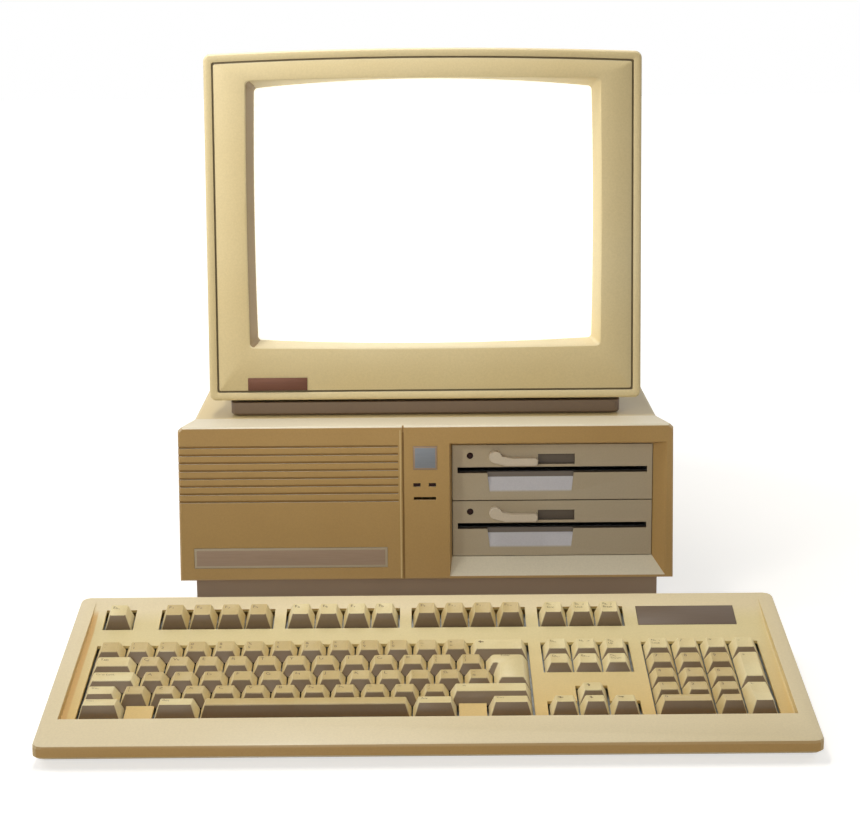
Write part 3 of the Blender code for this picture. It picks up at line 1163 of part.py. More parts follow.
def neck_fittings(frame):
    """The deflection yoke round the tube's neck and the small board on its end."""
    start = TUBE_SKIRT_Y + FUNNEL_LENGTH + GAP
    inner = NECK_RADIUS + RUNNING_GAP * 2
    profile = [(start, inner), (start, YOKE_RADIUS), (start + YOKE_LENGTH * 0.35, YOKE_RADIUS),
               (start + YOKE_LENGTH * 0.5, YOKE_RADIUS * 0.7), (start + YOKE_LENGTH, YOKE_RADIUS * 0.6),
               (start + YOKE_LENGTH, inner)]
    mesh_data = bmesh.new()
    rings = [[spot("Y", along, a, b) for a, b in circle(radius, ROUND, (0, SCREEN_CENTRE_Z))]
             for along, radius in profile]
    add_rings(mesh_data, rings, ring_of_rings=True)
    make_piece("deflection_yoke", mesh_data, "copper", parent=frame, smooth=True)

    half = NECK_BOARD_SIZE / 2
    y = NECK_END_Y + GAP
    board = make_piece("crt_neck_board", box_mesh((
        (-half, y, SCREEN_CENTRE_Z - half), (half, y + BOARD_THICKNESS, SCREEN_CENTRE_Z + half))),
        "circuit_board", parent=frame)
    socket = bmesh.new()
    add_turned(socket, [(y + BOARD_THICKNESS / 2, NECK_RADIUS * 1.1),
                        (y + BOARD_THICKNESS * 5, NECK_RADIUS * 1.1)], "Y", (0, SCREEN_CENTRE_Z), SMALL_ROUND)
    fuse(board, socket, frame)


def cabinet_ring(length_share, width_share, top_share, wall, y_shift=0.0):
    start = MONITOR_FRONT_DEPTH + GAP
    y = start + (CABINET_LENGTH - start) * length_share + y_shift
    front_half = MONITOR_WIDTH / 2 - CABINET_STEP
    front_top = MONITOR_HEIGHT - CABINET_STEP
    half = front_half + (CABINET_REAR_HALF_WIDTH - front_half) * width_share - wall
    top = front_top + (CABINET_REAR_TOP - front_top) * top_share - wall
    bottom = CABINET_STEP + (y - start) * math.tan(MONITOR_RAKE) + wall
    outline = rounded_outline(-half, half, bottom, top, CABINET_CORNER - wall, 4)
    return [(x, y, z) for x, z in outline]


def monitor_cabinet(frame):
    """The tapering rear shell with its vents, board ribs and the openings in its rear wall."""
    outer = [cabinet_ring(*station, 0.0) for station in CABINET_SHARES]
    inner = [cabinet_ring(*station, CABINET_WALL) for station in CABINET_SHARES[:-1]]
    inner.append(cabinet_ring(*CABINET_SHARES[-1], CABINET_WALL, -CABINET_WALL))
    mesh_data = bmesh.new()
    loops = [[mesh_data.verts.new(point) for point in ring] for ring in outer[::-1] + inner]
    for near, far in zip(loops, loops[1:]):
        for here in range(len(near)):
            there = (here + 1) % len(near)
            mesh_data.faces.new((near[here], near[there], far[there], far[here]))
    mesh_data.faces.new(loops[0])
    mesh_data.faces.new(loops[-1])
    cabinet = make_piece("monitor_cabinet", mesh_data, "cream_plastic", parent=frame, smooth=True)

    vents = bmesh.new()
    for index in range(VENT_COUNT):
        x = (index - (VENT_COUNT - 1) / 2) * VENT_PITCH
        add_box(vents, (x - VENT_WIDTH / 2, TOP_VENT_Y, CABINET_REAR_TOP),
                (x + VENT_WIDTH / 2, TOP_VENT_Y + VENT_LENGTH, MONITOR_HEIGHT))
        add_box(vents, (x - VENT_WIDTH / 2, CABINET_LENGTH - CABINET_WALL - OVERRUN, REAR_VENT_Z - VENT_LENGTH / 4),
                (x + VENT_WIDTH / 2, CABINET_LENGTH + OVERRUN, REAR_VENT_Z + VENT_LENGTH / 2))
    cut(cabinet, vents, frame)
    return cabinet


def monitor_rear_openings(cabinet, frame):
    """Openings, switch housing and shaft holes in the cabinet's rear wall."""
    y0, y1 = CABINET_LENGTH - CABINET_WALL, CABINET_LENGTH
    z = MONITOR_CONTROL_Z
    half_w = ROCKER_WIDTH / 2 + RUNNING_GAP
    half_h = ROCKER_RADIUS + RUNNING_GAP
    deep = ROCKER_RADIUS
    fuse(cabinet, box_mesh((
        (MONITOR_SWITCH_X - half_w - ROCKER_WALL, y1 - deep - ROCKER_WALL, z - half_h - ROCKER_WALL),
        (MONITOR_SWITCH_X + half_w + ROCKER_WALL, y1 - CABINET_WALL / 2, z + half_h + ROCKER_WALL))), frame)
    holes = bmesh.new()
    add_box(holes, (MONITOR_SWITCH_X - half_w, y1 - deep, z - half_h), (MONITOR_SWITCH_X + half_w, y1 + OVERRUN, z + half_h))
    add_box(holes, (MONITOR_INLET_X - INLET_WIDTH / 2 - GAP, y0 - OVERRUN, z - INLET_HEIGHT / 2 - GAP),
            (MONITOR_INLET_X + INLET_WIDTH / 2 + GAP, y1 + OVERRUN, z + INLET_HEIGHT / 2 + GAP))
    outline = d_outline(VIDEO_SOCKET_X, z, SERIAL_WIDTH + GAP * 2, PORT_HEIGHT + GAP * 2, PORT_SLANT)
    add_prism(holes, outline, "Y", y0 - OVERRUN, y1 + OVERRUN)
    for x in (BRIGHTNESS_X, CONTRAST_X):
        add_prism(holes, circle(KNOB_SHAFT_RADIUS + GAP, SMALL_ROUND, (x, z)), "Y", y0 - OVERRUN, y1 + OVERRUN)
    cut(cabinet, holes, frame)
    pin_holes = bmesh.new()
    add_turned(pin_holes, [(MONITOR_SWITCH_X - half_w - ROCKER_PIN_LENGTH, ROCKER_PIN_RADIUS + GAP),
                           (MONITOR_SWITCH_X + half_w + ROCKER_PIN_LENGTH, ROCKER_PIN_RADIUS + GAP)],
               "X", (y1 - ROCKER_BACK, z), SMALL_ROUND // 2)
    cut(cabinet, pin_holes, frame)


def knob(name, x, frame):
    """A fluted adjusting knob on a short shaft through the cabinet's rear wall."""
    mesh_data = bmesh.new()
    y0 = CABINET_LENGTH + GAP
    flutes = []
    for index in range(KNOB_GROOVES * 2):
        angle = math.tau * index / (KNOB_GROOVES * 2)
        radius = KNOB_RADIUS * (1.0 if index % 2 == 0 else 0.9)
        flutes.append((x + radius * math.cos(angle), MONITOR_CONTROL_Z + radius * math.sin(angle)))
    add_prism(mesh_data, flutes, "Y", y0, y0 + KNOB_LENGTH)
    piece = make_piece(name, mesh_data, "dark_plastic", (x, y0, MONITOR_CONTROL_Z), frame)
    shaft = bmesh.new()
    add_turned(shaft, [(CABINET_LENGTH - CABINET_WALL * 2, KNOB_SHAFT_RADIUS), (y0 + KNOB_LENGTH / 2, KNOB_SHAFT_RADIUS)],
               "Y", (x, MONITOR_CONTROL_Z), SMALL_ROUND)
    fuse(piece, shaft, frame)


def video_socket(frame):
    """The monitor's D shaped video socket."""
    z = MONITOR_CONTROL_Z
    y = CABINET_LENGTH - CABINET_WALL - GAP
    port = make_piece("monitor_video_socket", box_mesh((
        (VIDEO_SOCKET_X - SERIAL_WIDTH / 2 - PORT_FLANGE_MARGIN, y - SHEET * 4, z - PORT_FLANGE_HEIGHT / 2 - SHEET),
        (VIDEO_SOCKET_X + SERIAL_WIDTH / 2 + PORT_FLANGE_MARGIN, y, z + PORT_FLANGE_HEIGHT / 2 + SHEET))),
        "zinc_steel", parent=frame)
    shell = bmesh.new()
    add_prism(shell, d_outline(VIDEO_SOCKET_X, z, SERIAL_WIDTH, PORT_HEIGHT, PORT_SLANT), "Y",
              y - SHEET, CABINET_LENGTH + SHEET)
    fuse(port, shell, frame)


def cabinet_bottom():
    """Height of the cabinet's underside, which is level although the face is raked."""
    start = MONITOR_FRONT_DEPTH + GAP
    return MONITOR_BOTTOM + CABINET_STEP * math.cos(MONITOR_RAKE) - start * math.sin(MONITOR_RAKE)


def monitor_boards(cabinet):
    """The monitor's main board on two ribs of the cabinet floor, with the line transformer on it."""
    floor = cabinet_bottom() + CABINET_WALL
    start = MONITOR_FRONT_Y + MONITOR_FRONT_DEPTH * 3
    end = start + CHASSIS_BOARD_LENGTH
    half = CHASSIS_BOARD_WIDTH / 2
    ribs = bmesh.new()
    for side in (-1, 1):
        x = side * (half - RIB_WIDTH)
        add_box(ribs, (x - RIB_WIDTH / 2, start, floor - CABINET_WALL / 2), (x + RIB_WIDTH / 2, end, floor + RIB_HEIGHT))
    fuse(cabinet, ribs)
    bottom = floor + RIB_HEIGHT + GAP
    top = bottom + BOARD_THICKNESS
    board = make_piece("monitor_main_board", box_mesh(((-half, start, bottom), (half, end, top))), "circuit_board")
    parts = bmesh.new()
    sink = BOARD_THICKNESS / 2
    for x_share, y_share, size_share in CHASSIS_BOARD_PART_SHARES:
        x, y = half * x_share, start + CHASSIS_BOARD_LENGTH * y_share
        size = CHASSIS_BOARD_LENGTH * size_share
        add_box(parts, (x - size / 2, y - size / 2, top - sink), (x + size / 2, y + size / 2, top + size * 0.6))
    fuse(board, parts)
    x, y = half - FLYBACK_SIZE, end - FLYBACK_SIZE
    low = (x - FLYBACK_SIZE / 2, y - FLYBACK_SIZE / 2, top + GAP)
    high = (x + FLYBACK_SIZE / 2, y + FLYBACK_SIZE / 2, top + GAP + FLYBACK_HEIGHT / 2)
    flyback = make_piece("line_transformer", box_mesh((low, high)), "dark_plastic")
    coil = bmesh.new()
    add_turned(coil, [(high[2] - sink, FLYBACK_SIZE * 0.4), (high[2] + FLYBACK_HEIGHT / 2, FLYBACK_SIZE * 0.4)],
               "Z", (x, y), SMALL_ROUND)
    fuse(flyback, coil)


def monitor_foot():
    """The dark plinth between the monitor and the lid."""
    top = cabinet_bottom() - GAP
    bottom = UNIT_TOP + GAP
    start = MONITOR_FRONT_Y + MONITOR_FOOT_SETBACK + MONITOR_FRONT_DEPTH
    front = MONITOR_FRONT_Y + MONITOR_FOOT_SETBACK
    half = MONITOR_FOOT_WIDTH / 2
    end = front + MONITOR_FOOT_LENGTH
    low_top = MONITOR_BOTTOM - MONITOR_FOOT_EDGE
    mesh_data = bmesh.new()
    rings = []
    for z, inset in ((bottom, MONITOR_FOOT_EDGE / 2), (bottom + MONITOR_FOOT_EDGE / 2, 0), (low_top, 0)):
        outline = rounded_outline(inset - half, half - inset, front + inset, end - inset, MONITOR_FOOT_EDGE * 2, 4)
        rings.append([(x, y, z) for x, y in outline])
    add_rings(mesh_data, rings)
    foot = make_piece("monitor_foot", mesh_data, "dark_plastic")
    fuse(foot, box_mesh(((-half * 0.9, start, low_top - MONITOR_FOOT_EDGE), (half * 0.9, end - MONITOR_FOOT_EDGE, top))))


# Keyboard

RIM_SLOPE = (KEYBOARD_REAR_HEIGHT - KEYBOARD_FRONT_HEIGHT) / KEYBOARD_DEPTH


def rim_height(depth):
    """Height of the case's rim at a distance in front of its rear edge."""
    return KEYBOARD_REAR_HEIGHT - depth * RIM_SLOPE


def base_height(depth):
    """Height of the underside at a distance in front of the rear edge."""
    return PAD_HEIGHT + (KEYBOARD_DEPTH - depth) * math.tan(KEYBOARD_BASE_SLOPE)


class Deck:
    """One flat stretch of the sunken deck: places run forwards from its rear end and up from its face."""

    def __init__(self, depth, height, slope):
        self.depth, self.height, self.slope = depth, height, slope

    def point(self, x, forward, up):
        depth = self.depth + forward * math.cos(self.slope) + up * math.sin(self.slope)
        height = self.height - forward * math.sin(self.slope) + up * math.cos(self.slope)
        return Vector((x, KEYBOARD_REAR_Y - depth, height))


TOP_DECK = Deck(DECK_REAR_STRIP, rim_height(DECK_REAR_STRIP), DECK_TOP_SLOPE)
MAIN_DECK = Deck(DECK_REAR_STRIP + DECK_TOP_RUN,
                 rim_height(DECK_REAR_STRIP) - DECK_TOP_RUN * math.tan(DECK_TOP_SLOPE), DECK_MAIN_SLOPE)
TOP_RUN = DECK_TOP_RUN / math.cos(DECK_TOP_SLOPE)

MAIN_UNITS = 15.0
NAV_UNITS = 3.0
PAD_UNITS = 4.0
ROW_COUNT = 5
MAIN_RUN = MAIN_ROWS_START + KEY_PITCH * ROW_COUNT + ROWS_TO_RIM
TOP_HOLE_END = TOP_ROW_START + KEY_PITCH + TOP_HOLE_MARGIN
COLUMN_PITCH = (KEYBOARD_WIDTH - (KEYS_TO_SIDE + BLOCK_GAP) * 2) / (MAIN_UNITS + NAV_UNITS + PAD_UNITS)
SWITCH_HALF_WIDTH = COLUMN_PITCH / 2 - SWITCH_SIDE_SPACE
KEYS_LEFT = KEYS_TO_SIDE - KEYBOARD_WIDTH / 2
NAV_LEFT = KEYS_LEFT + COLUMN_PITCH * MAIN_UNITS + BLOCK_GAP
PAD_LEFT = NAV_LEFT + COLUMN_PITCH * NAV_UNITS + BLOCK_GAP
ROW_HEIGHTS = (LOW_ROW_HEIGHT, LOW_ROW_HEIGHT, LOW_ROW_HEIGHT, SHIFT_ROW_HEIGHT, FRONT_ROW_HEIGHT)


class Key:
    """One key: its block's left edge, its place and size in key pitches, its rows and its name if it moves."""

    def __init__(self, left, unit, width, row, rows=1, name=None, dish=True):
        self.x0 = left + unit * COLUMN_PITCH + KEY_GAP / 2
        self.x1 = left + (unit + width) * COLUMN_PITCH - KEY_GAP / 2
        self.row, self.rows, self.name, self.dish = row, rows, name, dish
        if row < 0:
            self.deck, self.rear = TOP_DECK, TOP_ROW_START
            self.front_height, self.tilt = TOP_ROW_HEIGHT, TOP_ROW_TILT
        else:
            self.deck, self.rear = MAIN_DECK, MAIN_ROWS_START + row * KEY_PITCH + KEY_GAP / 2
            last = row + rows - 1
            self.front_height, self.tilt = ROW_HEIGHTS[last], ROW_TILTS[last]
            if rows > 1:
                self.tilt = 0.0
        self.front = self.rear + rows * KEY_PITCH - KEY_GAP

    @property
    def middle(self):
        return (self.x0 + self.x1) / 2, (self.rear + self.front) / 2


def main_keys():
    """The keys of the main block, the cluster and the number pad, row by row."""
    keys = []
    rows = (
        [(1, None)] * 13 + [(2, "backspace_key")],
        [(1.5, "tab_key")] + [(1, None)] * 12,
        [(1.75, "caps_lock_key")] + [(1, None)] * 12,
        [(1.25, "left_shift_key")] + [(1, None)] * 11 + [(2.75, "right_shift_key")],
    )
    for row, widths in enumerate(rows):
        unit = 0.0
        for width, name in widths:
            keys.append(Key(KEYS_LEFT, unit, width, row, name=name))
            unit += width
    for unit, width, name in ((0, 1.5, None), (2.5, 1.5, None), (4, 7, "space_bar"), (11, 1.5, None), (13.5, 1.5, None)):
        keys.append(Key(KEYS_LEFT, unit, width, ROW_COUNT - 1, name=name, dish=name is None))
    keys.append(Key(KEYS_LEFT, 13.75, 1.25, 1, rows=2, name="enter_key"))
    keys += [Key(NAV_LEFT, unit, 1, row) for row in (0, 1) for unit in range(3)]
    keys.append(Key(NAV_LEFT, 1, 1, 3, name="up_arrow_key"))
    for unit, name in enumerate(("left_arrow_key", "down_arrow_key", "right_arrow_key")):
        keys.append(Key(NAV_LEFT, unit, 1, 4, name=name))
    keys += [Key(PAD_LEFT, unit, 1, 0) for unit in range(4)]
    keys += [Key(PAD_LEFT, unit, 1, row) for row in (1, 2, 3) for unit in range(3)]
    keys.append(Key(PAD_LEFT, 3, 1, 1, rows=2, name="keypad_plus_key"))
    keys.append(Key(PAD_LEFT, 3, 1, 3, rows=2, name="keypad_enter_key"))
    keys.append(Key(PAD_LEFT, 0, 2, 4, name="keypad_zero_key"))
    keys.append(Key(PAD_LEFT, 2, 1, 4))
    return keys


def top_keys():
    """The escape key, the function keys in three groups and the three keys over the cluster."""
    keys = [Key(KEYS_LEFT, 0, 1, -1, name="escape_key")]
    for group in (2.0, 6.5, 11.0):
        keys += [Key(KEYS_LEFT, group + index, 1, -1) for index in range(4)]
    keys += [Key(NAV_LEFT, index, 1, -1) for index in range(3)]
    return keys


def add_cap(mesh_data, key, moving):
    """Adds one key cap. A fixed cap stands on its switch, and a moving one is hollow with a stem."""
    front, rear = key.front, key.rear
    top_front, top_rear = front - CAP_FRONT_TAPER, rear + CAP_REAR_TAPER
    rear_height = key.front_height + (top_front - top_rear) * math.tan(key.tilt)
    x0, x1 = key.x0 + CAP_SIDE_TAPER, key.x1 - CAP_SIDE_TAPER
    dip = CAP_DISH if key.dish else 0.0
    edge = min((x1 - x0) / 4, CAP_SIDE_TAPER * 1.5)
    columns = [(x0, 0.0), (x0 + edge, dip), (x1 - edge, dip), (x1, 0.0)]

    def vert(x, forward, up):
        return mesh_data.verts.new(key.deck.point(x, forward, up))

    def on_front(height):
        return front - CAP_FRONT_TAPER * (height + SKIRT_DEPTH) / (key.front_height + SKIRT_DEPTH)

    def on_rear(height):
        return rear + CAP_REAR_TAPER * (height + SKIRT_DEPTH) / (rear_height + SKIRT_DEPTH)

    fronts = [vert(x, on_front(key.front_height - drop), key.front_height - drop) for x, drop in columns]
    rears = [vert(x, on_rear(rear_height - drop), rear_height - drop) for x, drop in columns]
    low = -SKIRT_DEPTH
    base = [vert(key.x0, front, low), vert(key.x1, front, low), vert(key.x1, rear, low), vert(key.x0, rear, low)]
    faces = mesh_data.faces
    for index in range(len(columns) - 1):
        faces.new((fronts[index], fronts[index + 1], rears[index + 1], rears[index]))
    faces.new((base[0], base[1], *fronts[::-1]))
    faces.new((base[2], base[3], *rears))
    faces.new((base[3], base[0], fronts[0], rears[0]))
    faces.new((base[1], base[2], rears[-1], fronts[-1]))

    middle_x, middle = key.middle

    def ring(half_x, half_forward, up):
        return [vert(middle_x + sx * half_x, middle - sy * half_forward, up)
                for sx, sy in ((-1, -1), (1, -1), (1, 1), (-1, 1))]

    loops = [base]
    if moving:
        roof = min(key.front_height, rear_height) - CAP_DISH - CAP_ROOF
        half_x, half_forward = (key.x1 - key.x0) / 2, (front - rear) / 2
        loops.append(ring(half_x - CAP_WALL, half_forward - CAP_WALL, low))
        slant = CAP_SIDE_TAPER * (roof + SKIRT_DEPTH) / (key.front_height + SKIRT_DEPTH)
        loops.append(ring(half_x - CAP_WALL - slant, half_forward - CAP_WALL - slant, roof))
        loops.append(ring(STEM_SIZE / 2, STEM_SIZE / 2, roof))
        loops.append(ring(STEM_SIZE / 2, STEM_SIZE / 2, stem_bottom()))
    else:
        loops.append(ring(SWITCH_HALF_WIDTH, SWITCH_SIZE / 2, low))
        loops.append(ring(SWITCH_HALF_WIDTH, SWITCH_SIZE / 2, -PLATE_DROP - PLATE_THICKNESS / 2))
    for near, far in zip(loops, loops[1:]):
        for here in range(4):
            there = (here + 1) % 4
            faces.new((near[here], near[there], far[there], far[here]))
    faces.new(loops[-1])


def stem_bottom():
    """Where a moving stem ends at rest: it still clears the plate's underside when pressed."""
    return -PLATE_DROP - PLATE_THICKNESS + KEY_TRAVEL + PLATE_CLEARANCE


def tower_top(key):
    """The top of the switch housing under a moving key, clear of the pressed cap's roof."""
    rear_height = key.front_height + (key.front - key.rear - CAP_FRONT_TAPER - CAP_REAR_TAPER) * math.tan(key.tilt)
    return min(key.front_height, rear_height) - CAP_DISH - CAP_ROOF - KEY_TRAVEL - PLATE_CLEARANCE


def deck_prism(mesh_data, deck, x0, x1, rear, front, low, high):
    """A block square to a stretch of deck."""
    rings = []
    for up in (low, high):
        rings.append([deck.point(x0, front, up), deck.point(x1, front, up),
                      deck.point(x1, rear, up), deck.point(x0, rear, up)])
    add_rings(mesh_data, rings)


def moving_key(key):
    """One key that moves on its own."""
    mesh_data = bmesh.new()
    add_cap(mesh_data, key, moving=True)
    middle_x, middle = key.middle
    origin = key.deck.point(middle_x, middle, 0)
    finish = "key_tan" if key.name in ("space_bar", "keypad_zero_key") else "key_cream"
    piece = make_piece(key.name, mesh_data, finish, origin)
    if key.name == "enter_key":
        wing = Key(KEYS_LEFT, 13.5, 1.5, 1)
        wing_mesh = bmesh.new()
        low, high = -SKIRT_DEPTH, key.front_height
        overlap = KEY_GAP / 2 + CAP_SIDE_TAPER * 1.5
        rings = []
        for up, taper in ((low, 0.0), (high, CAP_SIDE_TAPER)):
            front, rear = wing.front - taper, wing.rear + taper
            rings.append([key.deck.point(x, forward, up) for x, forward in (
                (wing.x0 + taper, front), (key.x0 + overlap, front), (key.x0 + overlap, rear), (wing.x0 + taper, rear))])
        add_rings(wing_mesh, rings)
        fuse(piece, wing_mesh)


def plate_outline(low, high):
    """The key plate's side profile between two levels under the deck."""
    points = []
    for up in (low, high):
        bend = (TOP_DECK.point(0, TOP_RUN, up) + MAIN_DECK.point(0, 0, up)) / 2
        line = [TOP_DECK.point(0, TOP_HOLE_START - KEY_GAP, up), bend, MAIN_DECK.point(0, MAIN_RUN - KEY_GAP * 4, up)]
        points.append([(point.y, point.z) for point in line])
    return points[0] + points[1][::-1]


def key_plate(keys):
    """The steel plate with a switch housing under every moving key and the other caps fused to it."""
    half = -KEYS_LEFT + KEY_GAP * 4
    mesh_data = bmesh.new()
    add_prism(mesh_data, plate_outline(-PLATE_DROP - PLATE_THICKNESS, -PLATE_DROP), "X", -half, half)
    plate = make_piece("key_plate", mesh_data, "key_tan")
    parts, bores = bmesh.new(), bmesh.new()
    for key in keys:
        if key.name is None:
            add_cap(parts, key, moving=False)
            continue
        x, middle = key.middle
        half_size, half_bore = SWITCH_SIZE / 2, STEM_SIZE / 2 + GAP
        top = tower_top(key)
        deck_prism(parts, key.deck, x - SWITCH_HALF_WIDTH, x + SWITCH_HALF_WIDTH,
                   middle - half_size, middle + half_size,
                   -PLATE_DROP - PLATE_THICKNESS / 2, top)
        deck_prism(bores, key.deck, x - half_bore, x + half_bore, middle - half_bore, middle + half_bore,
                   -PLATE_DROP - PLATE_THICKNESS - OVERRUN, top + OVERRUN)
    fuse(plate, parts)
    cut(plate, bores)


def plan_ring(inset, height):
    """A ring round the keyboard's plan outline at a height that depends on the depth."""
    half = KEYBOARD_WIDTH / 2 - inset
    outline = rounded_outline(-half, half, KEYBOARD_FRONT_Y + inset, KEYBOARD_REAR_Y - inset,
                              KEYBOARD_CORNER - inset / 2, 4)
    return [(x, y, height(KEYBOARD_REAR_Y - y)) for x, y in outline]


def keyboard_top_case():
    """The upper shell: sloping rim, sunken deck in two stretches and a cut-out round each key group."""
    rings = [
        plan_ring(0, lambda depth: base_height(depth) + SPLIT_HEIGHT),
        plan_ring(0, lambda depth: rim_height(depth) - KEYBOARD_EDGE),
        plan_ring(KEYBOARD_EDGE * 0.3, lambda depth: rim_height(depth) - KEYBOARD_EDGE * 0.3),
        plan_ring(KEYBOARD_EDGE, rim_height),
    ]
    mesh_data = bmesh.new()
    add_rings(mesh_data, rings)
    case = make_piece("keyboard_top_case", mesh_data, "cream_plastic")

    half = KEYBOARD_WIDTH / 2 - KEYBOARD_WALL
    wall = KEYBOARD_WALL
    underside = [TOP_DECK.point(0, 0, -DECK_THICKNESS), TOP_DECK.point(0, TOP_RUN, -DECK_THICKNESS),
                 MAIN_DECK.point(0, MAIN_RUN, -DECK_THICKNESS)]
    hollow = bmesh.new()
    rear, front = KEYBOARD_REAR_Y - wall, KEYBOARD_FRONT_Y + wall
    outline = [(rear, 0), (rear, rim_height(wall) - wall)]
    outline += [(point.y, point.z) for point in underside]
    outline += [(front, rim_height(KEYBOARD_DEPTH - wall) - wall), (front, 0)]
    add_prism(hollow, outline, "X", -half, half)
    cut(case, hollow)

    well = bmesh.new()
    well_half = KEYBOARD_WIDTH / 2 - WELL_SIDE_RIM
    lift = KEYBOARD_REAR_HEIGHT
    start, bend, end = TOP_DECK.point(0, 0, 0), MAIN_DECK.point(0, 0, 0), MAIN_DECK.point(0, MAIN_RUN, 0)
    outline = [(start.y, start.z), (bend.y, bend.z), (end.y, end.z), (end.y, end.z + lift), (start.y, start.z + lift)]
    add_prism(well, outline, "X", -well_half, well_half)
    cut(case, well)
    cut(case, key_holes())


def key_holes():
    """One opening through the deck for each group of keys, and a shallow recess for the plain panel."""
    holes = bmesh.new()
    low, high = -DECK_THICKNESS - OVERRUN, OVERRUN

    def hole(deck, left, unit, width, rear, front, bottom=low):
        x0 = left + unit * COLUMN_PITCH - HOLE_MARGIN
        x1 = left + (unit + width) * COLUMN_PITCH + HOLE_MARGIN
        deck_prism(holes, deck, x0, x1, rear, front, bottom, high)

    for left, unit, width in ((KEYS_LEFT, 0, 1), (KEYS_LEFT, 2, 4), (KEYS_LEFT, 6.5, 4), (KEYS_LEFT, 11, 4),
                              (NAV_LEFT, 0, 3)):
        hole(TOP_DECK, left, unit, width, TOP_HOLE_START, TOP_HOLE_END)
    x0 = PAD_LEFT
    deck_prism(holes, TOP_DECK, x0, x0 + PANEL_WIDTH, PANEL_START, PANEL_START + PANEL_LENGTH, -RECESS_DEPTH, high)
    rows_rear = MAIN_ROWS_START - HOLE_MARGIN
    row = [MAIN_ROWS_START + index * KEY_PITCH for index in range(ROW_COUNT + 1)]
    rows_front = row[5] + HOLE_MARGIN
    hole(MAIN_DECK, PAD_LEFT, 0, PAD_UNITS, rows_rear, rows_front)
    hole(MAIN_DECK, NAV_LEFT, 0, NAV_UNITS, rows_rear, row[2] + HOLE_MARGIN)

    def stepped(left, steps):
        """A hole whose front edge steps between the last two rows along its width."""
        outline = []
        for unit0, unit1, front in steps:
            outline += [(left + unit0 * COLUMN_PITCH, front), (left + unit1 * COLUMN_PITCH, front)]
        return outline

    def stepped_hole(rear_line, front_line):
        outline = front_line + rear_line[::-1]
        add_rings(holes, [[MAIN_DECK.point(x, forward, up) for x, forward in outline] for up in (low, high)])

    margin = HOLE_MARGIN / COLUMN_PITCH
    short, full = row[4] + HOLE_MARGIN, rows_front
    front_line = stepped(KEYS_LEFT, (
        (-margin, 1.5 + margin, full), (1.5 + margin, 2.5 - margin, short), (2.5 - margin, 12.5 + margin, full),
        (12.5 + margin, 13.5 - margin, short), (13.5 - margin, MAIN_UNITS + margin, full)))
    rear_line = stepped(KEYS_LEFT, ((-margin, MAIN_UNITS + margin, rows_rear),))
    stepped_hole(rear_line, front_line)
    front_line = stepped(NAV_LEFT, ((-margin, NAV_UNITS + margin, full),))
    upper, lower = row[3] - HOLE_MARGIN, row[4] - HOLE_MARGIN
    rear_line = stepped(NAV_LEFT, ((-margin, 1 - margin, lower), (1 - margin, 2 + margin, upper),
                                   (2 + margin, NAV_UNITS + margin, lower)))
    stepped_hole(rear_line, front_line)
    return holes


def keyboard_base():
    """The lower shell: floor, walls, plate ribs, front pads and the pockets of the two flip feet."""
    mesh_data = bmesh.new()
    add_rings(mesh_data, [
        plan_ring(BASE_INSET * 2, base_height),
        plan_ring(BASE_INSET, lambda depth: base_height(depth) + BASE_FLOOR),
        plan_ring(BASE_INSET, lambda depth: base_height(depth) + SPLIT_HEIGHT - GAP),
    ])
    base = make_piece("keyboard_base", mesh_data, "cream_plastic")
    inner = KEYBOARD_WALL + BASE_INSET
    hollow = bmesh.new()
    add_rings(hollow, [
        plan_ring(inner, lambda depth: base_height(depth) + BASE_FLOOR),
        plan_ring(inner, lambda depth: base_height(depth) + SPLIT_HEIGHT + OVERRUN),
    ])
    cut(base, hollow)

    parts = bmesh.new()
    half = -KEYS_LEFT
    for forward in (KEY_PITCH * 0.5, KEY_PITCH * 3.04, KEY_PITCH * 5.04):
        points = []
        for place in (forward, forward + RIB_WIDTH / 3):
            top = MAIN_DECK.point(0, place, -PLATE_DROP - PLATE_THICKNESS - GAP)
            points.append((top.y, top.z))
        depth = KEYBOARD_REAR_Y - points[0][0]
        floor = base_height(depth) + BASE_FLOOR / 2
        add_prism(parts, [points[0], points[1], (points[1][0], floor), (points[0][0], floor)], "X", -half, half)
    pad_y = KEYBOARD_FRONT_Y + PAD_SETBACK
    pad_top = base_height(KEYBOARD_DEPTH - PAD_SETBACK) + BASE_FLOOR / 2
    for side in (-1, 1):
        x = side * FLIP_FOOT_X
        add_box(parts, (x - PAD_WIDTH / 2, pad_y, 0), (x + PAD_WIDTH / 2, pad_y + PAD_LENGTH, pad_top))
        block_half = FLIP_FOOT_WIDTH / 2 + RUNNING_GAP + POCKET_WALL
        y0, y1 = pocket_ends()
        low = base_height(KEYBOARD_REAR_Y - y1) + BASE_FLOOR / 2
        top = base_height(KEYBOARD_REAR_Y - y1) + POCKET_HEIGHT + BASE_FLOOR
        add_box(parts, (x - block_half, y0 - POCKET_WALL, low), (x + block_half, y1 + POCKET_WALL / 2, top))
    fuse(base, parts)
    pockets = bmesh.new()
    for side in (-1, 1):
        x = side * FLIP_FOOT_X
        y0, y1 = pocket_ends()
        pocket_half = FLIP_FOOT_WIDTH / 2 + RUNNING_GAP
        top = base_height(KEYBOARD_REAR_Y - y1) + POCKET_HEIGHT
        add_box(pockets, (x - pocket_half, y0, 0), (x + pocket_half, y1, top))
    cut(base, pockets)
    pins = bmesh.new()
    axis_y, axis_z = flip_axis()
    for side in (-1, 1):
        x = side * FLIP_FOOT_X
        reach = FLIP_FOOT_WIDTH / 2 + RUNNING_GAP + FLIP_PIN_LENGTH
        add_turned(pins, [(x - reach, FLIP_PIN_RADIUS + GAP), (x + reach, FLIP_PIN_RADIUS + GAP)],
                   "X", (axis_y, axis_z), SMALL_ROUND)
    cut(base, pins)


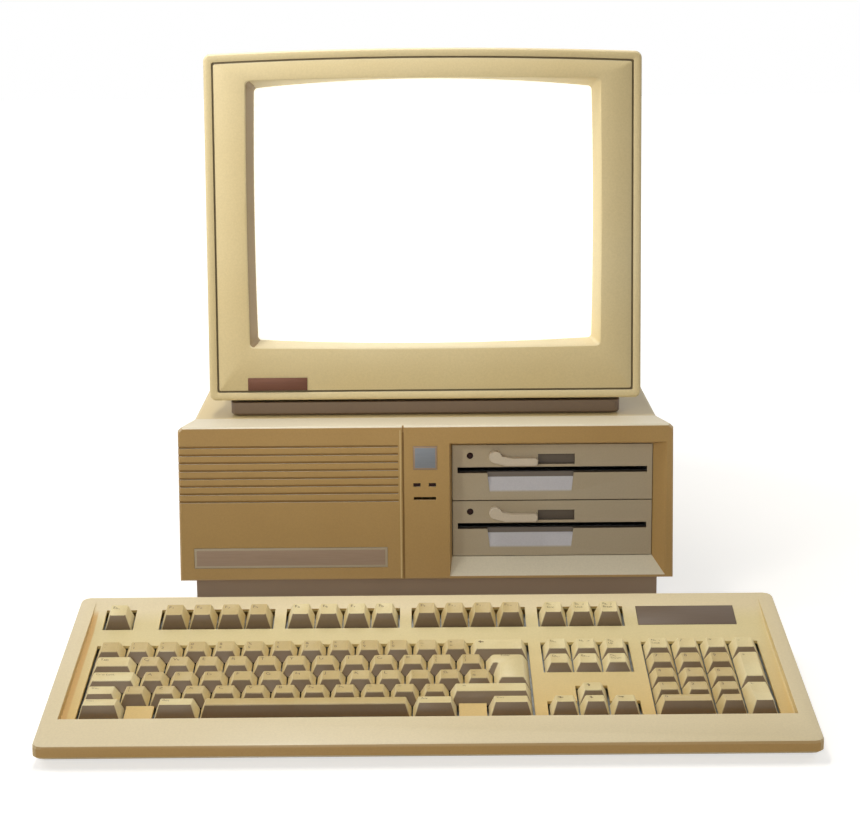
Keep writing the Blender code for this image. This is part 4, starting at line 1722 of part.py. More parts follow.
def flip_axis():
    """The hinge line of the flip feet, as Y and Z."""
    return (KEYBOARD_REAR_Y - FLIP_FOOT_INSET,
            base_height(FLIP_FOOT_INSET) + POCKET_HEIGHT - FLIP_BARREL_RADIUS - GAP * 3)


def pocket_ends():
    """The front and rear ends of the pocket that a folded foot lies in."""
    axis_y, _ = flip_axis()
    return axis_y - POCKET_LENGTH, axis_y + POCKET_REACH


def flip_foot(name, side):
    """A flip foot, drawn standing: a barrel with two pins and a leg down to the desk."""
    x = side * FLIP_FOOT_X
    y, z = flip_axis()
    half = FLIP_FOOT_WIDTH / 2
    outline = circle(FLIP_BARREL_RADIUS, 10, (y, z), 0.0, math.pi)
    outline += [(y - FLIP_BARREL_RADIUS, z - FLIP_BARREL_RADIUS),
                (y + FLIP_FOOT_LEAN - FLIP_FOOT_THICKNESS / 2, 0), (y + FLIP_FOOT_LEAN + FLIP_FOOT_THICKNESS / 2, 0),
                (y + FLIP_BARREL_RADIUS, z - FLIP_BARREL_RADIUS)]
    mesh_data = bmesh.new()
    add_prism(mesh_data, outline, "X", x - half, x + half)
    foot = make_piece(name, mesh_data, "dark_plastic", (x, y, z))
    pins = bmesh.new()
    reach = half + RUNNING_GAP + FLIP_PIN_LENGTH - GAP
    add_turned(pins, [(x - reach, FLIP_PIN_RADIUS), (x + reach, FLIP_PIN_RADIUS)], "X", (y, z), SMALL_ROUND)
    fuse(foot, pins)


def build_system_unit():
    front_bezel()
    lamp("power_lamp", POWER_LAMP_X)
    lamp("disk_lamp", DISK_LAMP_X)
    top_cover()
    chassis_tray()
    rubber_feet()
    drive_cage()
    drive("lower", LOWER_DRIVE_BOTTOM)
    drive("upper", LOWER_DRIVE_BOTTOM + DRIVE_PITCH)
    motherboard()
    expansion_card()
    rear_port("serial_port", SERIAL_PORT_X, SERIAL_WIDTH)
    rear_port("parallel_port", PARALLEL_PORT_X, PARALLEL_WIDTH)
    keyboard_socket()
    power_supply_case()
    mains_inlet("mains_inlet", INLET_X, REAR_PANEL_Y, INLET_Z)
    rocker_switch("power_switch", SWITCH_X, REAR_PANEL_Y - SHEET - GAP - ROCKER_BACK, SWITCH_Z)
    psu_fan()


def build_monitor():
    frame = monitor_frame()
    monitor_bezel(frame)
    crt_tube(frame)
    neck_fittings(frame)
    cabinet = monitor_cabinet(frame)
    monitor_rear_openings(cabinet, frame)
    monitor_boards(cabinet)
    mains_inlet("monitor_mains_inlet", MONITOR_INLET_X, CABINET_LENGTH, MONITOR_CONTROL_Z, frame)
    rocker_switch("monitor_power_switch", MONITOR_SWITCH_X, CABINET_LENGTH - ROCKER_BACK, MONITOR_CONTROL_Z, frame)
    knob("brightness_knob", BRIGHTNESS_X, frame)
    knob("contrast_knob", CONTRAST_X, frame)
    video_socket(frame)
    monitor_foot()


def build_keyboard():
    keys = main_keys() + top_keys()
    keyboard_top_case()
    keyboard_base()
    key_plate(keys)
    for key in keys:
        if key.name:
            moving_key(key)
    flip_foot("left_flip_foot", -1)
    flip_foot("right_flip_foot", 1)


def main():
    clear_scene()
    build_system_unit()
    build_monitor()
    build_keyboard()


main()
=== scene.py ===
"""Looks of the desktop computer: finishes, fine mouldings, key caps, lettering, light and camera."""

import math

import bmesh
import bpy
from mathutils import Matrix, Vector


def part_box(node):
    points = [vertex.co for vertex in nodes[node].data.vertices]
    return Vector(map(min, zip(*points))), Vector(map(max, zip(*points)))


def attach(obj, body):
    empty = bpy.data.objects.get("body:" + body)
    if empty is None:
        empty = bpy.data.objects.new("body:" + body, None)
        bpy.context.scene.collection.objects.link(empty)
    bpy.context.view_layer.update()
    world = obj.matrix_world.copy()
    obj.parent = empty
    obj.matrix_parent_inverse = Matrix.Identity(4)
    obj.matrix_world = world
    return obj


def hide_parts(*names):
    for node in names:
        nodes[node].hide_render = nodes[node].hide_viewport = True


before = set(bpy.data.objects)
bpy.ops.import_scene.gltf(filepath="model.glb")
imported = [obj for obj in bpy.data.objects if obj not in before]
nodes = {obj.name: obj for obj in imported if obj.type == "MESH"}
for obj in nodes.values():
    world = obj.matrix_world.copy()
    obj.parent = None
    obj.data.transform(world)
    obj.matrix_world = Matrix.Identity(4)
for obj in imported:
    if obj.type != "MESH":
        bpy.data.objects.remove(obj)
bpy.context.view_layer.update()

MM = 0.001

# Where things stand, as in the solid model
UNIT_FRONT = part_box("front_bezel")[0].y
UNIT_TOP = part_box("top_cover")[1].z
REAR_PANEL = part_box("chassis_tray")[1].y
DRIVE_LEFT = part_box("lower_drive_bezel")[0].x
BAY_LEFT = DRIVE_LEFT - 2.3 * MM
JOINT = BAY_LEFT - 34.3 * MM
MONITOR_SETBACK = 30 * MM
MONITOR_BASE = 155.5 * MM
MONITOR_RAKE = math.radians(-5)
MONITOR_PLACE = (Matrix.Translation((0, UNIT_FRONT + MONITOR_SETBACK, MONITOR_BASE))
                 @ Matrix.Rotation(MONITOR_RAKE, 4, "X"))
KEYBOARD_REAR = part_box("keyboard_top_case")[1].y
KEYBOARD_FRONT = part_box("keyboard_top_case")[0].y
KEYBOARD_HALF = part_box("keyboard_top_case")[1].x
# The keyboard's rim falls from its rear to its front height over its depth, in millimetres
RIM_REAR, RIM_FRONT, RIM_RUN = 45.5, 14.5, 195
RIM_SLOPE = (RIM_REAR - RIM_FRONT) / RIM_RUN


def put_in_scene(name, data):
    """An object for a mesh, curve, lamp or camera, linked into the scene."""
    thing = bpy.data.objects.new(name, data)
    bpy.context.scene.collection.objects.link(thing)
    return thing


# Finishes

def linear(channel):
    return channel / 12.92 if channel <= 0.04045 else ((channel + 0.055) / 1.055) ** 2.4


def colour(hex_code):
    """sRGB hex to linear light with full alpha."""
    return (*(linear(int(hex_code[i:i + 2], 16) / 255) for i in (0, 2, 4)), 1.0)


def per_mm(size):
    """Pattern scale that repeats about every size millimetres."""
    return 1 / (size * MM)


def add_node(tree, kind, inputs=None, **settings):
    """Adds a node, sets its properties, and fills or links its sockets."""
    node = tree.nodes.new(kind)
    for name, value in settings.items():
        setattr(node, name, value)
    for name, value in (inputs or {}).items():
        if isinstance(value, bpy.types.NodeSocket):
            tree.links.new(value, node.inputs[name])
        else:
            node.inputs[name].default_value = value
    return node


def new_finish(name, **shader_values):
    """A material with its Principled shader, and the object coordinates every pattern starts from."""
    material = bpy.data.materials.new(name)
    material.use_nodes = True
    tree = material.node_tree
    shader = tree.nodes["Principled BSDF"]
    for socket, value in shader_values.items():
        shader.inputs[socket.replace("_", " ")].default_value = value
    place = add_node(tree, "ShaderNodeTexCoord").outputs["Object"]
    return material, tree, shader, place


def beyond(tree, place, planes, soft=0.3):
    """One where the surface lies past every plane, fading in over a soft distance in millimetres. A plane
    may give its own distance after its point and facing."""
    whole = 1.0
    for point, facing, *own in planes:
        away = add_node(tree, "ShaderNodeVectorMath", {0: place, 1: point}, operation="SUBTRACT")
        past = add_node(tree, "ShaderNodeVectorMath", {0: away.outputs[0], 1: Vector(facing).normalized()},
                        operation="DOT_PRODUCT")
        fade = (own or [soft])[0] * MM
        share = add_node(tree, "ShaderNodeMapRange", {"Value": past.outputs["Value"], "From Max": fade})
        both = add_node(tree, "ShaderNodeMath", {0: whole, 1: share.outputs["Result"]}, operation="MULTIPLY")
        whole = both.outputs[0]
    return whole


def wall(axis, place, side):
    """A plane across an axis for beyond(): side 1 keeps what lies past the place, -1 what lies before it."""
    return [place * (name == axis) for name in "XYZ"], [side * (name == axis) for name in "XYZ"]


# A noise keeps mostly between these values
NOISE_MIDDLE = {"From Min": 0.3, "From Max": 0.7}
# Pale tint for faces that look up: dusting together with painted top light
PALE_DUST_AND_TOP_LIGHT = "DFD6BE"


def moulded_abs(name, fresh, aged, rough=0.46, grain=0.9, depth=0.05, patch=160.0, dust_and_top_light=0.0, tints=(),
                front=None, sides=None):
    """Injection moulded ABS or PBT: sparked tool grain that scatters highlights, uneven yellowing with age,
    faces that look up tinted pale by dusting and painted top light, painted shade on faces that look to the
    front, painted highlights on the flanks, and places given painted shade and places given painted light,
    each bounded by planes."""
    material, tree, shader, place = new_finish(name, IOR=1.53)
    ageing = add_node(tree, "ShaderNodeTexNoise", {"Vector": place, "Scale": per_mm(patch), "Detail": 2.0})
    spread = add_node(tree, "ShaderNodeMapRange", {"Value": ageing.outputs["Fac"], **NOISE_MIDDLE})
    mottle = add_node(tree, "ShaderNodeTexNoise", {"Vector": place, "Scale": per_mm(1.3), "Detail": 2.0})
    fleck = add_node(tree, "ShaderNodeMapRange", {
        "Value": mottle.outputs["Fac"], **NOISE_MIDDLE, "To Min": 0.965, "To Max": 1.03})
    tone = add_node(tree, "ShaderNodeMix", {0: spread.outputs["Result"], 6: colour(fresh), 7: colour(aged)},
                    data_type="RGBA").outputs[2]
    normal = add_node(tree, "ShaderNodeTexCoord").outputs["Normal"]
    facing = add_node(tree, "ShaderNodeSeparateXYZ", {"Vector": normal})
    flank = add_node(tree, "ShaderNodeMath", {0: facing.outputs["X"]}, operation="ABSOLUTE")
    # Painted shade on front faces, painted highlights on flanks, dusting with painted top light on upward
    # faces
    for turned, start, full, most, tint in (
            (facing.outputs["Y"], -0.5, -0.8, 0.92, front),
            (flank.outputs[0], 0.3, 0.6, 0.7, sides),
            (facing.outputs["Z"], 0.3, 0.6, dust_and_top_light, PALE_DUST_AND_TOP_LIGHT)):
        if tint and most:
            share = add_node(tree, "ShaderNodeMapRange", {
                "Value": turned, "From Min": start, "From Max": full, "To Max": most})
            tone = add_node(tree, "ShaderNodeMix", {0: share.outputs["Result"], 6: tone, 7: colour(tint)},
                            data_type="RGBA").outputs[2]
    # Places tinted with painted shade or with painted light, each bounded by planes
    for tint, planes, soft in tints:
        inside = beyond(tree, place, planes, soft)
        tone = add_node(tree, "ShaderNodeMix", {0: inside, 6: tone, 7: colour(tint)},
                        data_type="RGBA").outputs[2]
    shade = add_node(tree, "ShaderNodeVectorMath", {0: tone, "Scale": fleck.outputs["Result"]},
                     operation="SCALE")
    tree.links.new(shade.outputs[0], shader.inputs["Base Color"])
    # The real grain is about 0.1 mm and too fine to show, so it is drawn coarser
    pits = add_node(tree, "ShaderNodeTexNoise", {
        "Vector": place, "Scale": per_mm(grain), "Detail": 4.0, "Roughness": 0.65})
    bump = add_node(tree, "ShaderNodeBump", {
        "Height": pits.outputs["Fac"], "Strength": 0.35, "Distance": depth * MM})
    tree.links.new(bump.outputs["Normal"], shader.inputs["Normal"])
    sheen = add_node(tree, "ShaderNodeMapRange", {
        "Value": ageing.outputs["Fac"], **NOISE_MIDDLE, "To Min": rough - 0.05, "To Max": rough + 0.08})
    tree.links.new(sheen.outputs["Result"], shader.inputs["Roughness"])
    return material


def mottled(name, size, light, dark, detail=2.0, stretch=(1, 1, 1), rough=None, relief=None, **shader_values):
    """Wanders between two tones over patches of size millimetres, drawn out by stretch. rough is the range
    of its roughness, and relief is the strength of its bump and its depth in millimetres."""
    material, tree, shader, place = new_finish(name, **shader_values)
    drawn = add_node(tree, "ShaderNodeMapping", {"Vector": place, "Scale": stretch})
    patches = add_node(tree, "ShaderNodeTexNoise", {
        "Vector": drawn.outputs["Vector"], "Scale": per_mm(size), "Detail": detail})
    tone = add_node(tree, "ShaderNodeMix", {0: patches.outputs["Fac"], 6: colour(light), 7: colour(dark)},
                    data_type="RGBA")
    tree.links.new(tone.outputs[2], shader.inputs["Base Color"])
    if rough:
        gloss = add_node(tree, "ShaderNodeMapRange", {
            "Value": patches.outputs["Fac"], "To Min": rough[0], "To Max": rough[1]})
        tree.links.new(gloss.outputs["Result"], shader.inputs["Roughness"])
    if relief:
        bump = add_node(tree, "ShaderNodeBump", {
            "Height": patches.outputs["Fac"], "Strength": relief[0], "Distance": relief[1] * MM})
        tree.links.new(bump.outputs["Normal"], shader.inputs["Normal"])
    return material


def textured_paint(name, tone, worn):
    """Baked enamel on sheet steel: low orange peel that breaks up reflections, rubbed lighter in patches."""
    material, tree, shader, place = new_finish(name, IOR=1.5)
    rub = add_node(tree, "ShaderNodeTexNoise", {"Vector": place, "Scale": per_mm(90), "Detail": 4.0})
    base = add_node(tree, "ShaderNodeMix", {0: rub.outputs["Fac"], 6: colour(tone), 7: colour(worn)},
                    data_type="RGBA")
    tree.links.new(base.outputs[2], shader.inputs["Base Color"])
    peel = add_node(tree, "ShaderNodeTexVoronoi", {"Vector": place, "Scale": per_mm(1.4)}, feature="SMOOTH_F1")
    bump = add_node(tree, "ShaderNodeBump", {
        "Height": peel.outputs["Distance"], "Strength": 0.3, "Distance": 0.06 * MM}, invert=True)
    tree.links.new(bump.outputs["Normal"], shader.inputs["Normal"])
    gloss = add_node(tree, "ShaderNodeMapRange", {"Value": rub.outputs["Fac"], "To Min": 0.36, "To Max": 0.52})
    tree.links.new(gloss.outputs["Result"], shader.inputs["Roughness"])
    return material


def zinc_plate(name, tone="B4B7B8"):
    """Zinc plated sheet: cool grey metal with faint rolled streaks and cloudy spangle."""
    material, tree, shader, place = new_finish(name, Metallic=0.9)
    stretched = add_node(tree, "ShaderNodeMapping", {"Vector": place, "Scale": (1.0, 0.04, 1.0)})
    streak = add_node(tree, "ShaderNodeTexNoise", {
        "Vector": stretched.outputs["Vector"], "Scale": per_mm(0.7), "Detail": 2.0})
    cloud = add_node(tree, "ShaderNodeTexVoronoi", {"Vector": place, "Scale": per_mm(6)})
    shade = add_node(tree, "ShaderNodeMix", {
        0: cloud.outputs["Distance"], 6: colour(tone), 7: colour("8E9294")}, data_type="RGBA")
    tree.links.new(shade.outputs[2], shader.inputs["Base Color"])
    rough = add_node(tree, "ShaderNodeMapRange", {
        "Value": streak.outputs["Fac"], "To Min": 0.28, "To Max": 0.5})
    tree.links.new(rough.outputs["Result"], shader.inputs["Roughness"])
    bump = add_node(tree, "ShaderNodeBump", {
        "Height": streak.outputs["Fac"], "Strength": 0.12, "Distance": 0.02 * MM})
    tree.links.new(bump.outputs["Normal"], shader.inputs["Normal"])
    return material


# Length of one wave of the wave texture at scale 1
WAVE = math.tau / 20


def lit_screen():
    """Picture tube face: pale glowing phosphor with fine scan lines under a polished glass face."""
    material, tree, shader, place = new_finish("phosphor_behind_glass", IOR=1.5, Roughness=0.07,
                                               Coat_Weight=0.25, Coat_Roughness=0.04, Emission_Strength=0.8)
    # Real lines lie about 0.3 mm apart, too fine to show, so they are drawn far coarser
    lines = add_node(tree, "ShaderNodeTexWave", {
        "Vector": place, "Scale": WAVE * per_mm(5.655), "Distortion": 0.0}, bands_direction="Z")
    tone = add_node(tree, "ShaderNodeMix", {0: lines.outputs["Fac"], 6: colour("F2F4F0"), 7: colour("FBFCF8")},
                    data_type="RGBA")
    tree.links.new(tone.outputs[2], shader.inputs["Base Color"])
    tree.links.new(tone.outputs[2], shader.inputs["Emission Color"])
    return material


def copper_winding():
    """Enamelled copper wire: wound turns that glint one by one."""
    material, tree, shader, place = new_finish("enamelled_copper_wire", Metallic=0.85, Roughness=0.32)
    # The real wire is finer than its pattern, which is drawn as coarse as it needs to show
    turns = add_node(tree, "ShaderNodeTexWave", {
        "Vector": place, "Scale": WAVE * per_mm(7.54), "Distortion": 0.6, "Detail": 1.0},
        wave_type="RINGS", rings_direction="Y")
    tone = add_node(tree, "ShaderNodeMix", {0: turns.outputs["Fac"], 6: colour("6E3414"), 7: colour("C4733A")},
                    data_type="RGBA")
    tree.links.new(tone.outputs[2], shader.inputs["Base Color"])
    bump = add_node(tree, "ShaderNodeBump", {
        "Height": turns.outputs["Fac"], "Strength": 0.5, "Distance": 0.3 * MM})
    tree.links.new(bump.outputs["Normal"], shader.inputs["Normal"])
    return material


def lacquered_board(name, board_top=None, bracket_y=None):
    """Green solder lacquer over copper tracks, with black epoxy parts where the surface rises above board_top,
    and a plated steel bracket from bracket_y on."""
    material, tree, shader, place = new_finish(name, Roughness=0.4)
    tracks = add_node(tree, "ShaderNodeTexBrick", {
        "Vector": place, "Scale": per_mm(14), "Mortar Size": 0.05, "Color1": colour("2C5A36"),
        "Color2": colour("33663C"), "Mortar": colour("4C8A50")})
    tone = tracks.outputs["Color"]
    if board_top:
        rise = add_node(tree, "ShaderNodeSeparateXYZ", {"Vector": place})
        is_part = add_node(tree, "ShaderNodeMath", {0: rise.outputs["Z"], 1: board_top},
                           operation="GREATER_THAN")
        mottle = add_node(tree, "ShaderNodeTexNoise", {"Vector": place, "Scale": per_mm(3)})
        epoxy = add_node(tree, "ShaderNodeMix", {
            0: mottle.outputs["Fac"], 6: colour("1E1E1F"), 7: colour("2E2D2B")}, data_type="RGBA")
        tone = add_node(tree, "ShaderNodeMix", {
            0: is_part.outputs[0], 6: tone, 7: epoxy.outputs[2]}, data_type="RGBA").outputs[2]
    if bracket_y:
        bracket = beyond(tree, place, [wall("Y", bracket_y, 1)])
        tone = add_node(tree, "ShaderNodeMix", {0: bracket, 6: tone, 7: colour("A9ADAE")},
                        data_type="RGBA").outputs[2]
        tree.links.new(bracket, shader.inputs["Metallic"])
    tree.links.new(tone, shader.inputs["Base Color"])
    bump = add_node(tree, "ShaderNodeBump", {
        "Height": tracks.outputs["Fac"], "Strength": 0.4, "Distance": 0.05 * MM})
    tree.links.new(bump.outputs["Normal"], shader.inputs["Normal"])
    return material


def painted_groove_shade_and_highlight():
    """The louvres, the joint and the slit, whose floors lie behind the unit's front, get painted shade, and
    the edge beside the joint gets a painted highlight."""
    floor_y = UNIT_FRONT + 0.5 * MM
    shaded_grooves = (wall("Y", floor_y, 1), wall("Y", UNIT_FRONT + 6 * MM, -1), wall("X", BAY_LEFT - 1 * MM, -1),
               wall("Z", UNIT_TOP - 5 * MM, -1))
    painted_highlight_edge = (wall("X", JOINT - 2.7 * MM, 1), wall("X", JOINT - 1.5 * MM, -1), wall("Y", floor_y, -1),
                wall("Z", UNIT_TOP - 3 * MM, -1))
    return [("A07C40", shaded_grooves, 0.5), ("D8C08A", painted_highlight_edge, 0.4)]


def painted_drive_shade_and_reflection():
    """Pockets and slots are given painted shade inside, and each finger scoop's slope a pale painted
    reflection.
    """
    front_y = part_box("lower_drive_bezel")[0].y
    scoop_middle, scoop_half = DRIVE_LEFT + 58.4 * MM, 33.2 * MM
    tints = [("5A4E40", [wall("Y", front_y + 0.5 * MM, 1)], 0.5)]
    for name in ("lower_drive_bezel", "upper_drive_bezel"):
        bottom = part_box(name)[0].z
        tints.append(("D0CFD6", (
            wall("Y", front_y + 0.15 * MM, 1),
            wall("Z", bottom + 5.0 * MM, 1), wall("Z", bottom + 17.4 * MM, -1),
            wall("X", scoop_middle - scoop_half, 1), wall("X", scoop_middle + scoop_half, -1)), 0.4))
    return tints


def painted_well_shade():
    """Deck and well walls of the keyboard, below the rim, get a golden painted shade, most towards the front
    and on the left wall.
    """
    half = KEYBOARD_HALF - 10.5 * MM
    well = (((0, KEYBOARD_REAR, 44.3 * MM), (0, RIM_SLOPE, -1)), wall("X", -half, 1), wall("X", half, -1),
            wall("Y", KEYBOARD_FRONT + 20 * MM, 1), wall("Y", KEYBOARD_REAR - 5 * MM, -1))
    forward = (*wall("Y", KEYBOARD_REAR - 50 * MM, -1), 110.0)
    left_wall = wall("X", -half + 4.5 * MM, -1)
    return [("D6C692", well, 2.0), ("D2B26C", well + (forward,), 2.0), ("CDA664", well + (left_wall,), 1.0)]


BRUSHED = (0.03, 1, 1)
KEY_GRAIN = {"rough": 0.42, "grain": 0.6, "patch": 25.0}

FINISH = {
    # On these finishes, faces that look up get a pale tint: dusting together with painted top light
    "monitor": moulded_abs("monitor_abs_moulded", "DFCFA2", "D9C592", dust_and_top_light=0.35),
    # Moulded ABS with painted shade in the frame line, and with painted shade on the left side of the recess
    "seam": moulded_abs("monitor_seam_painted_shade", "8A7850", "76653F"),
    "shaded": moulded_abs("monitor_lip_painted_shade", "9C8256", "8E7448"),
    # Painted shade in the unit front's grooves, and a painted highlight on the edge beside the joint
    "front": moulded_abs("unit_front_abs_moulded", "BD9A5E", "B18D52", dust_and_top_light=1.0, tints=painted_groove_shade_and_highlight()),
    # Painted shade in the drive pockets and slots, and a painted reflection on each scoop's slope
    "drive": moulded_abs("drive_front_abs_moulded", "BCAE94", "B0A186", rough=0.42, grain=0.7,
                         tints=painted_drive_shade_and_reflection()),
    # Polystyrene is harder and glossier than ABS
    "lever": moulded_abs("lever_polystyrene_moulded", "E0D4C0", "D4C5AE", rough=0.3, grain=1.4, depth=0.02),
    # Painted shade on the keyboard case's faces that look to the front and in its well
    "keyboard": moulded_abs("keyboard_abs_moulded", "DCC998", "D4BE86", dust_and_top_light=0.4, tints=painted_well_shade(),
                            front="B8904E"),
    # Painted shade on the caps' faces that look to the front, and painted highlights on their flanks
    "key_cream": moulded_abs("modifier_key_pbt_moulded", "DFD09C", "D5C28C", front="705A42", sides="EADCB0",
                             **KEY_GRAIN),
    "key_tan": moulded_abs("letter_key_pbt_moulded", "C8B27A", "BCA46A", front="685238", sides="E0CE9C",
                           **KEY_GRAIN),
    "dark": moulded_abs("dark_abs_moulded", "7C6854", "6E5C4A", rough=0.5),
    # Phenolic resin: near black with a dull even gloss
    "black": moulded_abs("black_phenolic_moulded", "24211F", "191716", rough=0.42),
    "cover": textured_paint("cover_baked_enamel", "D9C798", "CDB884"),
    "plinth": textured_paint("chassis_baked_enamel", "9C866E", "8C7660"),
    "zinc": zinc_plate("zinc_plated_sheet"),
    # Nickel is a little warmer and brighter than zinc
    "screw": zinc_plate("nickel_plated_screw", "C8C6C0"),
    "screen": lit_screen(),
    # Conductive graphite paint on the tube's funnel: soft black with brush drag
    "graphite": mottled("graphite_coat", 4, "1C1C1E", "343436", detail=5.0, rough=(0.5, 0.75)),
    "copper": copper_winding(),
    # Black moulded rubber, dusty and matt
    "rubber": mottled("foot_rubber", 1.5, "1B1A19", "34322F", detail=4.0, relief=(0.3, 0.1), Roughness=0.85),
    # Tinted acrylic light pipe, unlit: a dulled gloss over a deep colour
    "lamp": mottled("unlit_red_lens", 1.2, "2C0E09", "1A0907", IOR=1.49, Roughness=0.5,
                    Specular_IOR_Level=0.2),
    # Anodised aluminium plates: fine brushing along X that stretches the highlights
    "strip": mottled("name_strip_anodised", 0.5, "AE9680", "9A826C", 3.0, BRUSHED, (0.4, 0.6), Metallic=0.1),
    "badge": mottled("badge_plate_anodised", 0.5, "8E959F", "7C838E", 3.0, BRUSHED, (0.4, 0.6), Metallic=0.1),
    "brown_plate": mottled("brown_plate_anodised", 0.5, "6A3F28", "573220", 3.0, BRUSHED, (0.3, 0.5),
                           Metallic=0.35),
    # Printed film: satin, with the same fine lines in its ink
    "dark_panel": mottled("dark_panel_film", 0.5, "62503E", "544434", 3.0, BRUSHED, (0.45, 0.65)),
    # Sublimated key lettering: brown black dye, a little uneven at the edges of each stroke
    "ink": mottled("sublimated_lettering", 1.0, "5E4A30", "7A6444", detail=3.0, Roughness=0.5),
}


# Mesh helpers

def make_piece(name, mesh_data, finishes, body, replaces=(), smooth=35, place=None):
    """Turns a bmesh into a piece with its finishes that rides on a body and may stand for solid nodes."""
    if place is not None:
        mesh_data.transform(place)
    bmesh.ops.recalc_face_normals(mesh_data, faces=mesh_data.faces)
    mesh = bpy.data.meshes.new(name)
    mesh_data.to_mesh(mesh)
    mesh_data.free()
    for finish in finishes:
        mesh.materials.append(FINISH[finish])
    mesh.shade_smooth()
    mesh.set_sharp_from_angle(angle=math.radians(smooth))
    piece = put_in_scene(name, mesh)
    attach(piece, body)
    if replaces:
        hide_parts(*replaces)


def add_rings(mesh_data, rings, closed=False, slot=0):
    """Skins rings with equally many points; a closed skin joins its last ring to its first."""
    loops = [[mesh_data.verts.new(point) for point in ring] for ring in rings]
    pairs = list(zip(loops, loops[1:]))
    if closed:
        pairs.append((loops[-1], loops[0]))
    made = []
    for near, far in pairs:
        for here in range(len(near)):
            there = (here + 1) % len(near)
            made.append(mesh_data.faces.new((near[here], near[there], far[there], far[here])))
    if not closed:
        made += [mesh_data.faces.new(loop) for loop in (loops[0], loops[-1])]
    for face in made:
        face.material_index = slot
    return made


def add_block(mesh_data, low, high, slot=0, bevel=0.0):
    """A box between two corners whose edges are rounded by a bevel."""
    middle = (Vector(low) + Vector(high)) / 2
    size = Vector(high) - Vector(low)
    shape = bmesh.ops.create_cube(mesh_data, size=1.0, matrix=Matrix.LocRotScale(middle, None, size))
    for face in {face for vert in shape["verts"] for face in vert.link_faces}:
        face.material_index = slot
    if bevel:
        edges = list({edge for vert in shape["verts"] for edge in vert.link_edges})
        bmesh.ops.bevel(mesh_data, geom=edges, offset=bevel, segments=2, affect="EDGES", profile=0.6)


def bare_plate(name, finishes, body, rim, field, origin=(0, 0, 0), place=None):
    """A plain plate in a raised rim. Each is its low and high corner and its bevel, in millimetres."""
    plate = bmesh.new()
    for slot, (low, high, bevel) in enumerate((rim, field)):
        add_block(plate, Vector(origin) + Vector(low) * MM, Vector(origin) + Vector(high) * MM,
                  min(slot, len(finishes) - 1), bevel * MM)
    make_piece(name, plate, finishes, body, place=place)


def circle(radius, sides, centre):
    turns = [math.tau * i / sides for i in range(sides)]
    return [(centre[0] + radius * math.cos(turn), centre[1] + radius * math.sin(turn)) for turn in turns]


def add_turned(mesh_data, profile, centre, sides):
    """Turns (y, radius) pairs round an axis along Y through centre (x, z)."""
    add_rings(mesh_data, [[(x, y, z) for x, z in circle(radius, sides, centre)] for y, radius in profile])


def square(half):
    return [(-half, -half), (half, -half), (half, half), (-half, half)]


CORNER_STEPS, LONG_STEPS, SHORT_STEPS = 8, 36, 28


def bowed_outline(half_w, ends, side_bow, bows, corner, middle_z):
    """A screen outline with round corners and four bowed sides; ends and bows are (lower, upper) pairs."""
    points = []
    for index, (side, end, angle) in enumerate(((-1, -1, 180), (1, -1, 270), (1, 1, 0), (-1, 1, 90))):
        half_h = ends[end > 0]
        cx, cz = side * (half_w - corner), end * (half_h - corner)
        for step in range(CORNER_STEPS):
            turn = math.radians(angle + 90 * step / (CORNER_STEPS - 1))
            points.append((cx + corner * math.cos(turn), cz + corner * math.sin(turn)))
        steps = LONG_STEPS if index % 2 == 0 else SHORT_STEPS
        for step in range(1, steps):
            share = step / steps
            if index % 2 == 0:
                points.append((side * (1 - 2 * share) * (half_w - corner), end * half_h))
            else:
                low, high = corner - ends[0], ends[1] - corner
                points.append((side * half_w, low + (high - low) * (share if end < 0 else 1 - share)))
    bowed = []
    for x, z in points:
        across, up = x / half_w, z / ends[z > 0]
        bow = bows[z > 0]
        bowed.append((x + side_bow * across * (1 - up * up), middle_z + z + bow * up * (1 - across * across)))
    return bowed


# Monitor, in the frame of its raked face: X across, Y into the set, Z up the face

SCREEN_MIDDLE = 139.5 * MM
FACE_HALF_WIDTH = 162 * MM
FACE_HEIGHT = 257.5 * MM
CROWN = 3.5 * MM
GLASS_SETBACK = 8.5 * MM
GLASS_RADIUS = 900 * MM
CABINET_BACK = 335 * MM
# Outlines round the screen in millimetres: half width, (lower, upper) reach, (lower, upper) bow, corner
OPENING = (131.2, (99.7, 98.2), (1.1, 1.8), 3.0)
LIP = (126.2, (95.5, 93.2), (2.5, 6.2), 2.5)
SIDE_BOW = 0.8 * MM


def glass_depth(x, z):
    """Depth of the tube's curved face behind the front plane."""
    return GLASS_SETBACK + (x * x + (z - SCREEN_MIDDLE) ** 2) / (2 * GLASS_RADIUS)


def rim_ring(inset, y):
    """The monitor's outline with its crowned top edge."""
    half, middle = FACE_HALF_WIDTH - inset, FACE_HEIGHT / 2
    corner = max(5 * MM - inset, 1.4 * MM)
    outline = bowed_outline(half, [middle - inset] * 2, 0, (0, 0), corner, middle)
    return [(x, y, z + (CROWN * (1 - (x / half) ** 2) if z > middle else 0)) for x, z in outline]


def screen_ring(shape, grow, depth):
    """One of the outlines round the screen, grown outwards, at a depth that may follow the glass."""
    half, ends, bows, corner = shape
    outline = bowed_outline(half * MM + grow, [end * MM + grow for end in ends], SIDE_BOW,
                            [bow * MM for bow in bows], corner * MM + grow, SCREEN_MIDDLE)
    return [(x, depth(x, z), z) for x, z in outline]


def opening_ring(grow, y):
    return screen_ring(OPENING, grow * MM, lambda x, z: y * MM)


def lip_ring(grow, lift):
    return screen_ring(LIP, grow * MM, lambda x, z: glass_depth(x, z) - lift * MM)


def blend_rings(one, other, share):
    return [tuple(a + (b - a) * share for a, b in zip(p, q)) for p, q in zip(one, other)]


